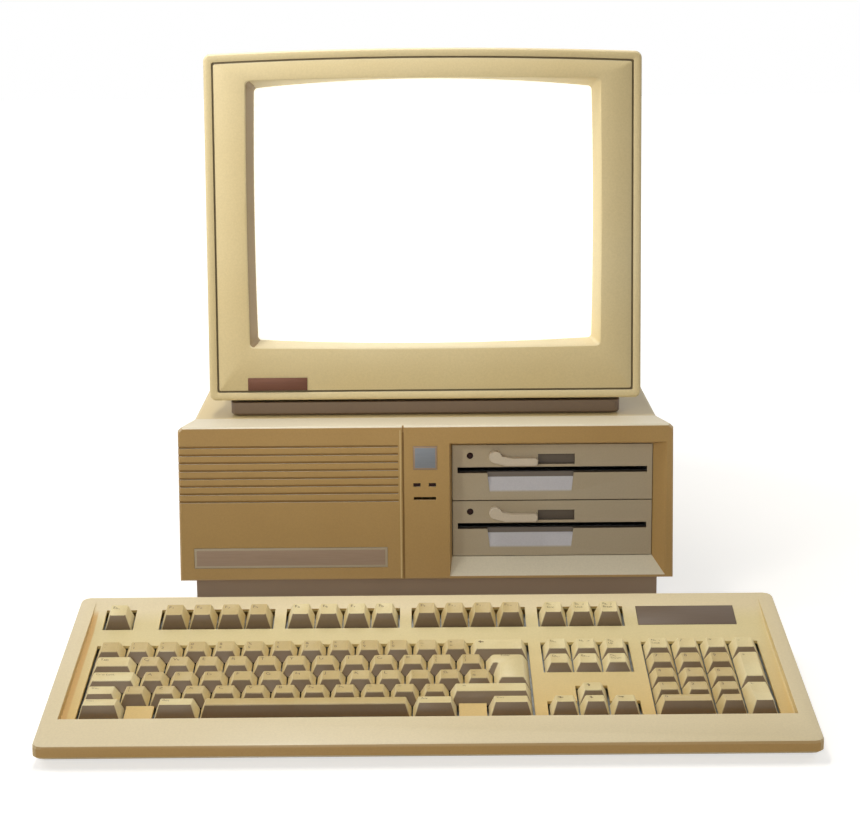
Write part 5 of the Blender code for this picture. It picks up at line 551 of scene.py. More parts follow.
def monitor_front():
    """The surround: rolled outer edge, inset frame line, and a sloping recess down to the curved glass."""
    opening, lip = opening_ring(0, 0), lip_ring(0, 2.3)
    edge_and_seam = ((0, 24), (0, 2.8), (0.15, 1.7), (0.6, 0.7), (1.3, 0.15), (2.2, 0), (5.7, 0), (6.1, 0.3),
                     (6.3, 2.2), (7.3, 2.2), (7.5, 0.3), (7.9, 0))
    rings = [rim_ring(inset * MM, y * MM) for inset, y in edge_and_seam]
    rings += [opening_ring(1.2, 0), opening_ring(0.4, 0.12)]
    rings += [blend_rings(opening, lip, share) for share in (0.06, 0.35, 0.65, 0.94)]
    rings += [lip_ring(0.25, 1.7), lip_ring(0.1, 0.35), lip_ring(2, 0.35), opening_ring(3, 3)]
    rings += [rim_ring(inset * MM, y * MM) for inset, y in ((9, 4.6), (3, 4.6), (3, 24))]
    mesh_data = bmesh.new()
    faces = add_rings(mesh_data, rings, closed=True)
    count = len(rings[0])
    seam, recess = faces[count * 7:count * 10], faces[count * 14:count * 18]
    # The frame line's faces get painted shade
    for face in seam:
        face.material_index = 1
    # The left side of the recess gets painted shade
    for face in recess:
        if face.calc_center_median().x < -125 * MM:
            face.material_index = 2
    make_piece("monitor_surround", mesh_data, ["monitor", "seam", "shaded"], "monitor", ["monitor_bezel"], 40,
               MONITOR_PLACE)
    bare_plate("monitor_bare_plate", ["brown_plate"], "monitor",
               ((-132.9, -0.7, 7.6), (-88.4, 0.2, 17.0), 0.3),
               ((-131.9, -0.85, 8.5), (-89.4, -0.5, 16.1), 0.1), place=MONITOR_PLACE)


def picture_tube():
    """The whole tube: glowing face, with skirt, funnel and neck all in the graphite coat."""
    grow = 6.5 * MM
    half_w, half_h, bow, corner = 124.5 * MM + grow, 92.5 * MM + grow, 6.2 * MM, 10 * MM
    skirt_end, funnel_length, neck_end, neck_radius = 45 * MM, 151 * MM, 290 * MM, 14.5 * MM
    funnel_steps = 10

    def panel(scale, y=None):
        outline = bowed_outline(half_w * scale, [half_h * scale] * 2, 2.2 * MM * scale, [bow * scale] * 2,
                                corner * scale, SCREEN_MIDDLE)
        return [(x, glass_depth(x, z) if y is None else y, z) for x, z in outline]

    mesh_data = bmesh.new()
    face = [panel(share) for share in (0.02, 0.12, 0.25, 0.4, 0.55, 0.7, 0.85, 0.96)]
    edge = [(x, y + 1.6 * MM, z) for x, y, z in panel(1.0)]
    skirt = panel(1.0, skirt_end)
    rings = face + [edge, skirt]
    for step in range(1, funnel_steps + 1):
        share = step / funnel_steps
        blend = math.sin(share * math.pi / 2) ** 0.8
        ring = []
        for x, _, z in skirt:
            angle = math.atan2(z - SCREEN_MIDDLE, x)
            neck_x, neck_z = neck_radius * math.cos(angle), SCREEN_MIDDLE + neck_radius * math.sin(angle)
            y = skirt_end + funnel_length * share
            ring.append((x + (neck_x - x) * blend, y, z + (neck_z - z) * blend))
        rings.append(ring)
    rings.append([(x, neck_end, z) for x, _, z in rings[-1]])
    add_rings(mesh_data, rings, slot=1)
    mesh_data.faces.ensure_lookup_table()
    for glass in mesh_data.faces[:len(rings[0]) * len(face)]:
        glass.material_index = 0
    middle_of_glass = mesh_data.faces[-2]
    middle_of_glass.material_index = 0
    make_piece("picture_tube", mesh_data, ["screen", "graphite"], "monitor", ["crt_tube"], 50, MONITOR_PLACE)


# Keyboard, in the frame of its deck: x across, forward towards the user, up from the deck

PITCH = 19.05 * MM
KEY_GAP = 0.85 * MM
BLOCK_GAP = 9.8 * MM
SKIRT = 2.5 * MM
SIDE_TAPER = 3.6 * MM
FRONT_TAPER = 3.6 * MM
REAR_TAPER = 2.6 * MM
CAP_WALL = 1.3 * MM
CAP_ROOF = 1.95 * MM
STEM_HALF = 2.2 * MM
TRAVEL = 3.5 * MM
PRESSED_GAP = 0.5 * MM
PLATE_DROP = SKIRT + TRAVEL + PRESSED_GAP
STEM_END = -PLATE_DROP + TRAVEL + 0.6 * MM
KEYS_LEFT = -(PITCH * 22 + BLOCK_GAP * 2) / 2
NAV_LEFT = KEYS_LEFT + PITCH * 15 + BLOCK_GAP
PAD_LEFT = NAV_LEFT + PITCH * 3 + BLOCK_GAP


class Deck:
    """A flat stretch of the sunken deck."""

    def __init__(self, depth, height, slope):
        self.depth, self.height, self.slope = depth, height, math.radians(slope)

    def point(self, x, forward, up):
        depth = self.depth + forward * math.cos(self.slope) + up * math.sin(self.slope)
        height = self.height - forward * math.sin(self.slope) + up * math.cos(self.slope)
        return Vector((x, KEYBOARD_REAR - depth, height))


TOP_DECK_START, MAIN_DECK_START = 8 * MM, 43 * MM
TOP_DECK_RUN = MAIN_DECK_START - TOP_DECK_START
REAR_STRIP_HEIGHT = RIM_REAR * MM - TOP_DECK_START * RIM_SLOPE
TOP_DECK = Deck(TOP_DECK_START, REAR_STRIP_HEIGHT, 16)
MAIN_DECK = Deck(MAIN_DECK_START, REAR_STRIP_HEIGHT - TOP_DECK_RUN * math.tan(TOP_DECK.slope), 9.5)
TOP_ROW_START, MAIN_ROWS_START = 13.8 * MM, 19.9 * MM
TOP_ROW_HEIGHT, TOP_ROW_TILT = 8.3 * MM, 2.0
ROW_HEIGHT = (4.8, 4.8, 4.8, 6.3, 9.3)
ROW_TILT = (2.5, -0.5, -2.5, -6.5, -11.5)
TALL_TILT = {2: 0.0, 4: -9.0}


class Key:
    """One key's place, size, shape and lettering."""

    def __init__(self, left, unit, width, row, text="", rows=1, node=None, body="keyboard", tan=False,
                 dish=0.75):
        self.x0 = left + unit * PITCH + KEY_GAP / 2
        self.x1 = left + (unit + width) * PITCH - KEY_GAP / 2
        self.text, self.node, self.body, self.tan, self.dish = text, node, body, tan, dish * MM
        if row < 0:
            self.deck, self.rear, self.height, tilt = TOP_DECK, TOP_ROW_START, TOP_ROW_HEIGHT, TOP_ROW_TILT
        else:
            last = row + rows - 1
            self.deck, self.rear = MAIN_DECK, MAIN_ROWS_START + row * PITCH + KEY_GAP / 2
            self.height, tilt = ROW_HEIGHT[last] * MM, TALL_TILT[last] if rows > 1 else ROW_TILT[last]
        self.tilt = math.radians(tilt)
        self.front = self.rear + rows * PITCH - KEY_GAP
        self.top_front, self.top_rear = self.front - FRONT_TAPER, self.rear + REAR_TAPER
        self.rear_height = self.height + (self.top_front - self.top_rear) * math.tan(self.tilt)
        self.middle_x, self.middle = (self.x0 + self.x1) / 2, (self.rear + self.front) / 2
        self.roof = min(self.height, self.rear_height) - CAP_ROOF

    def surface(self, x, forward):
        """Height of the dished top at a place."""
        level = self.height + (self.top_front - forward) * math.tan(self.tilt)
        half = (self.x1 - self.x0) / 2 - SIDE_TAPER
        across = (x - self.middle_x) / half
        if self.dish < 0:
            along = (forward - (self.top_front + self.top_rear) / 2) / ((self.top_front - self.top_rear) / 2)
            return level + self.dish * min(1, along * along)
        # A wide cap is dished over its ends only
        widest_dish, end_dish = 9 * MM, 6 * MM
        if half > widest_dish:
            across = max(0.0, abs(across) * half - (half - end_dish)) / end_dish
        return level - self.dish * max(0.0, 1 - across * across)


def rounded_ring(x0, x1, f0, f1, corner, steps=5):
    """A rectangle of (x, forward) points with round corners."""
    points = []
    corner = min(corner, (x1 - x0) / 2.01, (f1 - f0) / 2.01)
    for cx, cf, angle in ((x0 + corner, f0 + corner, 180), (x1 - corner, f0 + corner, 270),
                          (x1 - corner, f1 - corner, 0), (x0 + corner, f1 - corner, 90)):
        for step in range(steps):
            turn = math.radians(angle + 90 * step / (steps - 1))
            points.append((cx + corner * math.cos(turn), cf + corner * math.sin(turn)))
    return points


def add_cap(mesh_data, key, slot=0):
    """A sculpted cap: tapered skirt with round corners, rolled edge and a dished top, hollow with a stem."""
    top_middle = (key.top_rear + key.top_front) / 2
    half_x, half_f = (key.x1 - key.x0) / 2 - SIDE_TAPER, (key.top_front - key.top_rear) / 2

    def lift(points, up):
        return [key.deck.point(x, f, up(x, f)) for x, f in points]

    def skirt(share, corner):
        """The skirt's ring at a share of the way from its foot to the top edge."""
        x0, x1 = key.x0 + SIDE_TAPER * share, key.x1 - SIDE_TAPER * share
        f0, f1 = key.rear + REAR_TAPER * share, key.front - FRONT_TAPER * share

        def level(x, f):
            top = key.height + (f1 - f) / (f1 - f0) * (key.rear_height - key.height)
            return -SKIRT + (top + SKIRT) * share
        return lift(rounded_ring(x0, x1, f0, f1, corner * MM), level)

    def top_ring(half_across, half_along, drop, corner):
        points = rounded_ring(key.middle_x - half_across, key.middle_x + half_across,
                              top_middle - half_along, top_middle + half_along, corner * MM)
        return lift(points, lambda x, f: key.surface(x, f) - drop * MM)

    def flat(inset, up, corner):
        points = rounded_ring(key.x0 + inset, key.x1 - inset, key.rear + inset, key.front - inset, corner * MM)
        return lift(points, lambda x, f: up)

    rings = [top_ring(half_x * share, half_f * share, 0, 2 * share) for share in (0.2, 0.5, 0.78)]
    rings += [top_ring(half_x - inset * MM, half_f - inset * MM, drop, corner)
              for inset, drop, corner in ((0.5, 0, 1.0), (0.18, 0.06, 1.1), (0.03, 0.25, 1.15))]
    rings += [skirt(0.93, 1.1), skirt(0.5, 0.9), skirt(0, 0.7)]
    slant = FRONT_TAPER * (key.roof + SKIRT) / (key.height + SKIRT)
    rings += [flat(CAP_WALL, -SKIRT, 0.6), flat(CAP_WALL + slant, key.roof, 0.8)]
    stem = rounded_ring(key.middle_x - STEM_HALF, key.middle_x + STEM_HALF,
                        key.middle - STEM_HALF, key.middle + STEM_HALF, 0.3 * MM)
    rings += [lift(stem, lambda x, f, up=up: up) for up in (key.roof, STEM_END)]
    add_rings(mesh_data, rings, slot=slot)


LETTER_MESHES = {}


def letter_mesh(text):
    """The flat outline of a word in the plain built-in face, one unit high."""
    if text not in LETTER_MESHES:
        curve = bpy.data.curves.new("lettering", "FONT")
        curve.body = text
        curve.size = 1.0
        curve.resolution_u = 3
        holder = put_in_scene("lettering", curve)
        bpy.context.view_layer.update()
        flat = bpy.data.meshes.new_from_object(holder.evaluated_get(bpy.context.evaluated_depsgraph_get()))
        bpy.data.objects.remove(holder)
        LETTER_MESHES[text] = ([tuple(vert.co[:2]) for vert in flat.vertices],
                               [tuple(face.vertices) for face in flat.polygons])
        bpy.data.meshes.remove(flat)
    return LETTER_MESHES[text]


ARROW_TURN = {"arrow<": 90, "arrow>": -90, "arrow^": 0, "arrowv": 180}
ARROW = [(-0.12, -0.5), (0.12, -0.5), (0.12, 0.0), (0.38, 0.0), (0.0, 0.5), (-0.38, 0.0), (-0.12, 0.0)]
ARROW_MIDDLE = (0.5, 0.35)
CAPITAL_HEIGHT = 0.72
INK_LIFT = 0.05 * MM


def add_lettering(mesh_data, key, text, size, left, top, slot):
    """Lays a word or an arrow on the cap's dished top, left and top away from its upper left corner."""
    if text in ARROW_TURN:
        cos, sin = math.cos(math.radians(ARROW_TURN[text])), math.sin(math.radians(ARROW_TURN[text]))
        points = [(ARROW_MIDDLE[0] + x * cos - y * sin, ARROW_MIDDLE[1] + x * sin + y * cos) for x, y in ARROW]
        faces = [tuple(range(len(points)))]
    else:
        points, faces = letter_mesh(text)
    verts = []
    for x, y in points:
        place_x = key.x0 + SIDE_TAPER + left + x * size
        forward = key.top_rear + top + (CAPITAL_HEIGHT - y) * size
        up = key.surface(place_x, forward) + INK_LIFT
        verts.append(mesh_data.verts.new(key.deck.point(place_x, forward, up)))
    for face in faces:
        if len(set(face)) > 2:
            mesh_data.faces.new([verts[i] for i in face]).material_index = slot


def all_keys():
    """Every key with its plain lettering. Two words are upper and lower lettering."""
    keys = []

    def row_of(left, row, words, start=0.0, **settings):
        unit = start
        for word in words:
            keys.append(Key(left, unit, 1, row, word, **settings))
            unit += 1

    def moving(left, unit, width, row, word, node, body=None, **settings):
        keys.append(Key(left, unit, width, row, word, node=node, body=body or "key_" + node[:-4], **settings))

    moving(KEYS_LEFT, 0, 1, -1, "Esc", "escape_key")
    row_of(KEYS_LEFT, -1, ["F1", "F2", "F3", "F4"], 2, tan=True)
    row_of(KEYS_LEFT, -1, ["F5", "F6", "F7", "F8"], 6.5)
    row_of(KEYS_LEFT, -1, ["F9", "F10", "F11", "F12"], 11, tan=True)
    row_of(NAV_LEFT, -1, ["Print|Scrn", "Scroll|Lock", "Pause|Break"])
    row_of(KEYS_LEFT, 0, ["~|`", "!|1", "\"|2", "#|3", "$|4", "%|5", "^|6", "&|7", "*|8", "(|9", ")|0", "_|-",
                          "+|="], tan=True)
    moving(KEYS_LEFT, 13, 2, 0, "arrow<", "backspace_key")
    moving(KEYS_LEFT, 0, 1.5, 1, "Tab", "tab_key")
    row_of(KEYS_LEFT, 1, list("QWERTYUIOP") + ["{|[", "}|]"], 1.5, tan=True)
    moving(KEYS_LEFT, 0, 1.75, 2, "Caps Lock", "caps_lock_key")
    row_of(KEYS_LEFT, 2, list("ASDFGHJKL") + [":|;", "@|'", "~|#"], 1.75, tan=True)
    moving(KEYS_LEFT, 0, 1.25, 3, "Shift", "left_shift_key")
    row_of(KEYS_LEFT, 3, ["||\\"] + list("ZXCVBNM") + ["<|,", ">|.", "?|/"], 1.25, tan=True)
    moving(KEYS_LEFT, 12.25, 2.75, 3, "Shift", "right_shift_key")
    for unit, word in ((0, "Ctrl"), (2.5, "Alt"), (11, "Alt"), (13.5, "Ctrl")):
        keys.append(Key(KEYS_LEFT, unit, 1.5, 4, word))
    moving(KEYS_LEFT, 4, 7, 4, "", "space_bar", tan=True, dish=-0.5)
    moving(KEYS_LEFT, 13.75, 1.25, 1, "Enter", "enter_key", rows=2, dish=0.0)
    row_of(NAV_LEFT, 0, ["Ins", "Home", "Page|Up"])
    row_of(NAV_LEFT, 1, ["Del", "End", "Page|Down"])
    for unit, row, word, name in ((1, 3, "arrow^", "up"), (0, 4, "arrow<", "left"), (1, 4, "arrowv", "down"),
                                  (2, 4, "arrow>", "right")):
        moving(NAV_LEFT, unit, 1, row, word, name + "_arrow_key", "key_" + name)
    row_of(PAD_LEFT, 0, ["Num|Lock", "/", "*", "-"])
    for row, words in ((1, "789"), (2, "456"), (3, "123")):
        row_of(PAD_LEFT, row, list(words), tan=True)
    moving(PAD_LEFT, 3, 1, 1, "+", "keypad_plus_key", "key_pad_plus", rows=2)
    moving(PAD_LEFT, 3, 1, 3, "Enter", "keypad_enter_key", "key_pad_enter", rows=2)
    moving(PAD_LEFT, 0, 2, 4, "0", "keypad_zero_key", "key_pad_zero", tan=True)
    keys.append(Key(PAD_LEFT, 2, 1, 4, ".", tan=True))
    return keys

def letter_key(mesh_data, key, slot):
    """Puts a key's lettering at the upper left of its top."""
    if key.text in ARROW_TURN:
        add_lettering(mesh_data, key, key.text, 4.2 * MM, 1.2 * MM, 1.3 * MM, slot)
        return
    words = ["|", "\\"] if key.text == "||\\" else key.text.split("|")
    longest = max(len(word) for word in words)
    size = {1: 4.6, 2: 3.9, 3: 3.6}.get(longest, 2.8) * MM
    if len(words) == 2 and longest == 1:
        size = 3.7 * MM
    for line, word in enumerate(words):
        if word:
            add_lettering(mesh_data, key, word, size, 1.3 * MM, 1.4 * MM + line * size * 1.2, slot)


def enter_cap(mesh_data, key):
    """The tall Enter key with its wing over the row above."""
    wing_x0 = KEYS_LEFT + 13.5 * PITCH + KEY_GAP / 2
    wing_front = key.rear + PITCH - KEY_GAP

    def hook(side, end, level, corner):
        """The cap's outline with its six corners drawn in, at a height over the deck."""
        outline = [(wing_x0 + side, key.rear + end), (key.x1 - side, key.rear + end),
                   (key.x1 - side, key.front - end), (key.x0 + side, key.front - end),
                   (key.x0 + side, wing_front - end), (wing_x0 + side, wing_front - end)]
        return [key.deck.point(x, f, level) for x, f in round_corners(outline, corner)]

    shoulder = 0.92
    edge_roll = 0.55 * MM
    rings = [hook(SIDE_TAPER + edge_roll, FRONT_TAPER + edge_roll, key.height, 2.1 * MM),
             hook(SIDE_TAPER, FRONT_TAPER, key.height - 0.5 * MM, (1.0 + 1.1 * shoulder) * MM)]
    for share in (0.5, 0.0):
        level = -SKIRT + (key.height + SKIRT) * share
        rings.append(hook(SIDE_TAPER * share, FRONT_TAPER * share, level, (1.0 + 1.1 * share) * MM))
    for inset, level in ((CAP_WALL, -SKIRT), (CAP_WALL + 1.6 * MM, key.roof)):
        rings.append(hook(inset, inset, level, 0.5 * MM))
    add_rings(mesh_data, rings)
    add_rings(mesh_data, [[key.deck.point(key.middle_x + x, key.middle + f, up) for x, f in square(STEM_HALF)]
                          for up in (key.roof + 0.5 * MM, STEM_END)])


def round_corners(outline, radius, steps=5):
    """Rounds each corner of a right angled outline."""
    points = []
    for index, corner in enumerate(outline):
        before, after = Vector(outline[index - 1]), Vector(outline[(index + 1) % len(outline)])
        corner = Vector(corner)
        reach = min(radius, (before - corner).length / 2.1, (after - corner).length / 2.1)
        start = corner + (before - corner).normalized() * reach
        end = corner + (after - corner).normalized() * reach
        for step in range(steps):
            t = step / (steps - 1)
            spot = start.lerp(corner, t).lerp(corner.lerp(end, t), t)
            points.append((spot.x, spot.y))
    return points


def keyboard_keys():
    """Caps that move ride on their own keys; the others stand for the plate with their housings."""
    keys = all_keys()
    fixed = bmesh.new()
    for key in keys:
        if key.node:
            cap = bmesh.new()
            if key.node == "enter_key":
                enter_cap(cap, key)
            else:
                add_cap(cap, key)
            letter_key(cap, key, 1)
            finish = "key_tan" if key.tan else "key_cream"
            make_piece(key.node + "_cap", cap, [finish, "ink"], key.body, [key.node], 40)
        else:
            add_cap(fixed, key, 0 if key.tan else 1)
            letter_key(fixed, key, 2)
    make_piece("fixed_key_caps", fixed, ["key_tan", "key_cream", "ink"], "keyboard", ["key_plate"], 40)
    switch_plate(keys)


def switch_plate(keys):
    """The bent steel plate under the deck with a dark switch housing below every cap."""
    sheet, plate_rear, plate_front = 1.5 * MM, 9.6 * MM, 118.6 * MM
    half = -KEYS_LEFT + 3.4 * MM
    bend_at = TOP_DECK_RUN / math.cos(TOP_DECK.slope)
    mesh_data = bmesh.new()
    rings = []
    for x in (-half, half):
        under, over = (
            [TOP_DECK.point(x, plate_rear, up),
             (TOP_DECK.point(x, bend_at, up) + MAIN_DECK.point(x, 0, up)) / 2,
             MAIN_DECK.point(x, plate_front, up)] for up in (-PLATE_DROP - sheet, -PLATE_DROP))
        rings.append(under + over[::-1])
    add_rings(mesh_data, rings)
    for key in keys:
        top = key.roof - TRAVEL - PRESSED_GAP
        housing, bore = square(4.4 * MM), square(2.5 * MM)
        levels = ((housing, -PLATE_DROP - 0.3 * MM), (housing, top),
                  (bore, top), (bore, -PLATE_DROP + 0.2 * MM))
        add_rings(mesh_data, [[key.deck.point(key.middle_x + x, key.middle + f, up) for x, f in outline]
                              for outline, up in levels], slot=1)
    make_piece("switch_plate", mesh_data, ["zinc", "black"], "keyboard", (), 30)


def lower_shell():
    """The keyboard's bottom case, its front edge drawn back under the top case as in the photograph."""
    mesh_data = bmesh.new()
    mesh_data.from_mesh(nodes["keyboard_base"].data)
    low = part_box("keyboard_base")[0]
    run, draw, split = 45 * MM, 15 * MM, 6 * MM
    for vert in mesh_data.verts:
        along = (vert.co.y - low.y) / run
        under = (split - vert.co.z) / (split - low.z)
        if along < 1 and under > 0:
            vert.co.y += draw * min(1.0, under) * (1 - along)
    make_piece("keyboard_lower_shell", mesh_data, ["keyboard"], "keyboard", ["keyboard_base"], 30)


def bare_panels():
    """Plain plates where the set carries a name strip, a square plate and a keyboard panel."""
    front = (0, UNIT_FRONT, 0)
    bare_plate("name_strip_bare", ["drive", "strip"], "system_unit",
               ((-173.5, -0.15, 33.9), (-29.1, 0.55, 49.1), 0.15),
               ((-171.9, -0.3, 35.5), (-30.7, 0, 47.5), 0.12), front)
    bare_plate("square_plate_bare", ["strip", "badge"], "system_unit",
               ((-9.4, -0.2, 108.6), (8.4, 0.55, 126.4), 0.2),
               ((-8.2, -0.35, 109.8), (7.2, 0, 125.2), 0.12), front)
    panel = bmesh.new()
    width, rear, forward = 67, 10.4, 32.9
    rings = []
    for inset, up in ((0.2, -0.55), (0.2, 0.1), (0.45, 0.25)):
        left, right = PAD_LEFT + inset * MM, PAD_LEFT + (width - inset) * MM
        near, far = (rear + inset) * MM, (forward - inset) * MM
        corners = ((left, near), (right, near), (right, far), (left, far))
        rings.append([TOP_DECK.point(x, f, up * MM) for x, f in corners])
    add_rings(panel, rings)
    make_piece("keyboard_panel_bare", panel, ["dark_panel"], "keyboard")


# Rear and other details

SOCKET_HEIGHT = 28.5 * MM
INLET_HEIGHT = 40 * MM
MONITOR_SOCKETS_X, MONITOR_SOCKETS_Z = 70 * MM, 70 * MM
# Pitches of real parts: D-type contacts and their rows, and expansion slots
CONTACT_PITCH, CONTACT_ROWS, SLOT_PITCH = 2.77 * MM, 2.84 * MM, 20.32 * MM


def screw(mesh_data, x, y, z, radius=3.0 * MM):
    """A domed cross-slot screw on a face square to Y."""
    profile = ((-0.6, 0.9), (0.2, 1.0), (0.9, 0.85), (1.5, 0.5), (1.65, 0.12))
    add_turned(mesh_data, [(y + out * MM, radius * share) for out, share in profile], (x, z), 20)
    for wide, tall in ((radius * 1.1, radius * 0.2), (radius * 0.2, radius * 1.1)):
        add_block(mesh_data, (x - wide / 2, y, z - tall / 2), (x + wide / 2, y + 1.72 * MM, z + tall / 2), 1)


def add_contacts(mesh_data, x, z, start, end, counts, upright=False):
    """Rows of round contacts about a socket's middle, from start to end along Y."""
    for row, count in enumerate(counts):
        for index in range(count):
            along, across = (index - (count - 1) / 2) * CONTACT_PITCH, (0.5 - row) * CONTACT_ROWS
            spot = (x + across, z + along) if upright else (x + along, z + across)
            add_turned(mesh_data, [(start, 0.5 * MM), (end, 0.5 * MM)], spot, 8)


def add_inlet_pins(mesh_data, x, face, z):
    """The three flat pins inside a mains inlet."""
    for side, up in ((-7, -1.5), (7, -1.5), (0, 2.5)):
        add_block(mesh_data, (x + (side - 2) * MM, face - 15.6 * MM, z + (up - 1) * MM),
                  (x + (side + 2) * MM, face - 3 * MM, z + (up + 1) * MM), 0, 0.4 * MM)


def rear_details():
    """Screws, connector contacts and inlet pins on the unit's back."""
    screws = bmesh.new()
    for x, z in ((-168, 128), (0, 137), (168, 128), (-168, 50), (168, 60),
                 (35, 120), (108, 120), (162, 20), (35, 20)):
        screw(screws, x * MM, REAR_PANEL, z * MM)
    card_x, serial_x, parallel_x, keyboard_x, inlet_x = (
        sum((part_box(name)[0].x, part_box(name)[1].x)) / 2
        for name in ("expansion_card", "serial_port", "parallel_port", "keyboard_socket", "mains_inlet"))
    for index in range(5):
        screw(screws, card_x - index * SLOT_PITCH, REAR_PANEL + 0.5 * MM, 124.5 * MM, 2.2 * MM)
    make_piece("rear_screws", screws, ["screw", "black"], "system_unit")

    contacts = bmesh.new()
    start, end = REAR_PANEL + 2.0 * MM, REAR_PANEL + 3.25 * MM
    add_contacts(contacts, serial_x, SOCKET_HEIGHT, start, end, (5, 4))
    add_contacts(contacts, parallel_x, SOCKET_HEIGHT, start, end, (13, 12))
    add_contacts(contacts, card_x, 84 * MM, start, end, (5, 4), True)
    jacks = [(middle + side * reach * MM, SOCKET_HEIGHT, 0.5)
             for middle, reach in ((serial_x, 12.5), (parallel_x, 23.5)) for side in (-1, 1)]
    jacks += [(card_x, z * MM, 1.6) for z in (71.5, 96.5)]
    for x, z, sunk in jacks:
        profile = ((-sunk, 2.4), (4.2, 2.4), (4.2, 1.4), (2.2, 1.4))
        add_turned(contacts, [(REAR_PANEL + out * MM, radius * MM) for out, radius in profile], (x, z), 6)
    for angle in range(-60, 241, 75):
        x = keyboard_x + 4.6 * MM * math.cos(math.radians(angle))
        z = SOCKET_HEIGHT + 4.6 * MM * math.sin(math.radians(angle))
        add_turned(contacts, [(REAR_PANEL + out * MM, 0.8 * MM) for out in (0.5, 1.35)], (x, z), 10)
    make_piece("rear_contacts", contacts, ["screw"], "system_unit")

    pins = bmesh.new()
    add_inlet_pins(pins, inlet_x, REAR_PANEL, INLET_HEIGHT)
    make_piece("unit_inlet_pins", pins, ["screw"], "system_unit")


def monitor_rear_details():
    """Screws, inlet pins and socket contacts on the back of the monitor."""
    pins = bmesh.new()
    add_inlet_pins(pins, MONITOR_SOCKETS_X, CABINET_BACK, MONITOR_SOCKETS_Z)
    add_contacts(pins, -MONITOR_SOCKETS_X, MONITOR_SOCKETS_Z, CABINET_BACK, CABINET_BACK + 1.45 * MM, (5, 4))
    make_piece("monitor_contacts", pins, ["screw"], "monitor", place=MONITOR_PLACE)
    screws = bmesh.new()
    for x, z in ((-95, 60), (95, 60), (-88, 186), (88, 186)):
        screw(screws, x * MM, CABINET_BACK, z * MM)
    make_piece("monitor_screws", screws, ["screw", "black"], "monitor", place=MONITOR_PLACE)


# Solids that stay as they are, by finish
SOLIDS = {
    "plinth": ["chassis_tray"],
    "cover": ["top_cover"],
    "front": ["front_bezel"],
    "zinc": ["drive_cage", "upper_drive_body", "lower_drive_body", "power_supply_case", "parallel_port",
             "serial_port", "monitor_video_socket"],
    "drive": ["upper_drive_bezel", "lower_drive_bezel"],
    "lever": ["upper_drive_lever", "lower_drive_lever"],
    "lamp": ["upper_drive_lamp", "lower_drive_lamp", "power_lamp", "disk_lamp"],
    "black": ["psu_fan", "mains_inlet", "power_switch", "keyboard_socket", "line_transformer",
              "monitor_mains_inlet", "monitor_power_switch", "brightness_knob", "contrast_knob"],
    "rubber": ["front_left_foot", "front_right_foot", "rear_left_foot", "rear_right_foot"],
    "monitor": ["monitor_cabinet"],
    "dark": ["monitor_foot", "left_flip_foot", "right_flip_foot"],
    "copper": ["deflection_yoke"],
    "keyboard": ["keyboard_top_case"],
}
# Radius of their rounded edges in millimetres; the other solids keep crisp edges
ROUNDING = {
    "front_bezel": 0.5, "upper_drive_bezel": 0.35, "lower_drive_bezel": 0.35, "upper_drive_lever": 0.3,
    "lower_drive_lever": 0.3, "keyboard_top_case": 0.6, "monitor_foot": 0.5, "top_cover": 0.25,
    "chassis_tray": 0.2,
}
# Height of each board's lacquered face and start of its bracket, where it has parts or a bracket that show
BOARDS = {
    "motherboard": (16.9 * MM, None),
    "expansion_card": (None, REAR_PANEL - 3 * MM),
    "crt_neck_board": (None, None),
    "monitor_main_board": (166.5 * MM, None),
}


def dress_solids():
    """Gives every solid that stays its finish and a fine rounded or a crisp edge."""
    for finish, names in SOLIDS.items():
        for name in names:
            solid = nodes[name]
            for slot in solid.material_slots:
                slot.material = FINISH[finish]
            solid.data.attributes.remove(solid.data.attributes["custom_normal"])
            solid.data.shade_smooth()
            join = solid.modifiers.new("joined_faces", "WELD")
            join.merge_threshold = 0.002 * MM
            if name in ROUNDING:
                merge = solid.modifiers.new("flat_faces", "DECIMATE")
                merge.decimate_type = "DISSOLVE"
                merge.angle_limit = math.radians(0.3)
                edge = solid.modifiers.new("rounded_edges", "BEVEL")
                edge.width = ROUNDING[name] * MM
                edge.segments = 3
                edge.limit_method = "ANGLE"
                edge.angle_limit = math.radians(22)
                edge.harden_normals = True
            else:
                crease = solid.modifiers.new("crisp_edges", "EDGE_SPLIT")
                crease.split_angle = math.radians(30)
    for name, (board_top, bracket_y) in BOARDS.items():
        finish = lacquered_board(name + "_lacquer", board_top, bracket_y)
        for slot in nodes[name].material_slots:
            slot.material = finish


# Light, floor and camera

AMBIENT = 0.15
WHITE = (1.0, 1.0, 1.0, 1.0)


def seen_directly(tree):
    """One for rays that the eye, a gloss or a glass sends, which see the pale background."""
    rays = add_node(tree, "ShaderNodeLightPath")
    direct = add_node(tree, "ShaderNodeMath", {
        0: rays.outputs["Is Camera Ray"], 1: rays.outputs["Is Glossy Ray"]}, operation="MAXIMUM")
    return add_node(tree, "ShaderNodeMath", {0: direct.outputs[0], 1: rays.outputs["Is Transmission Ray"]},
                    operation="MAXIMUM").outputs[0]


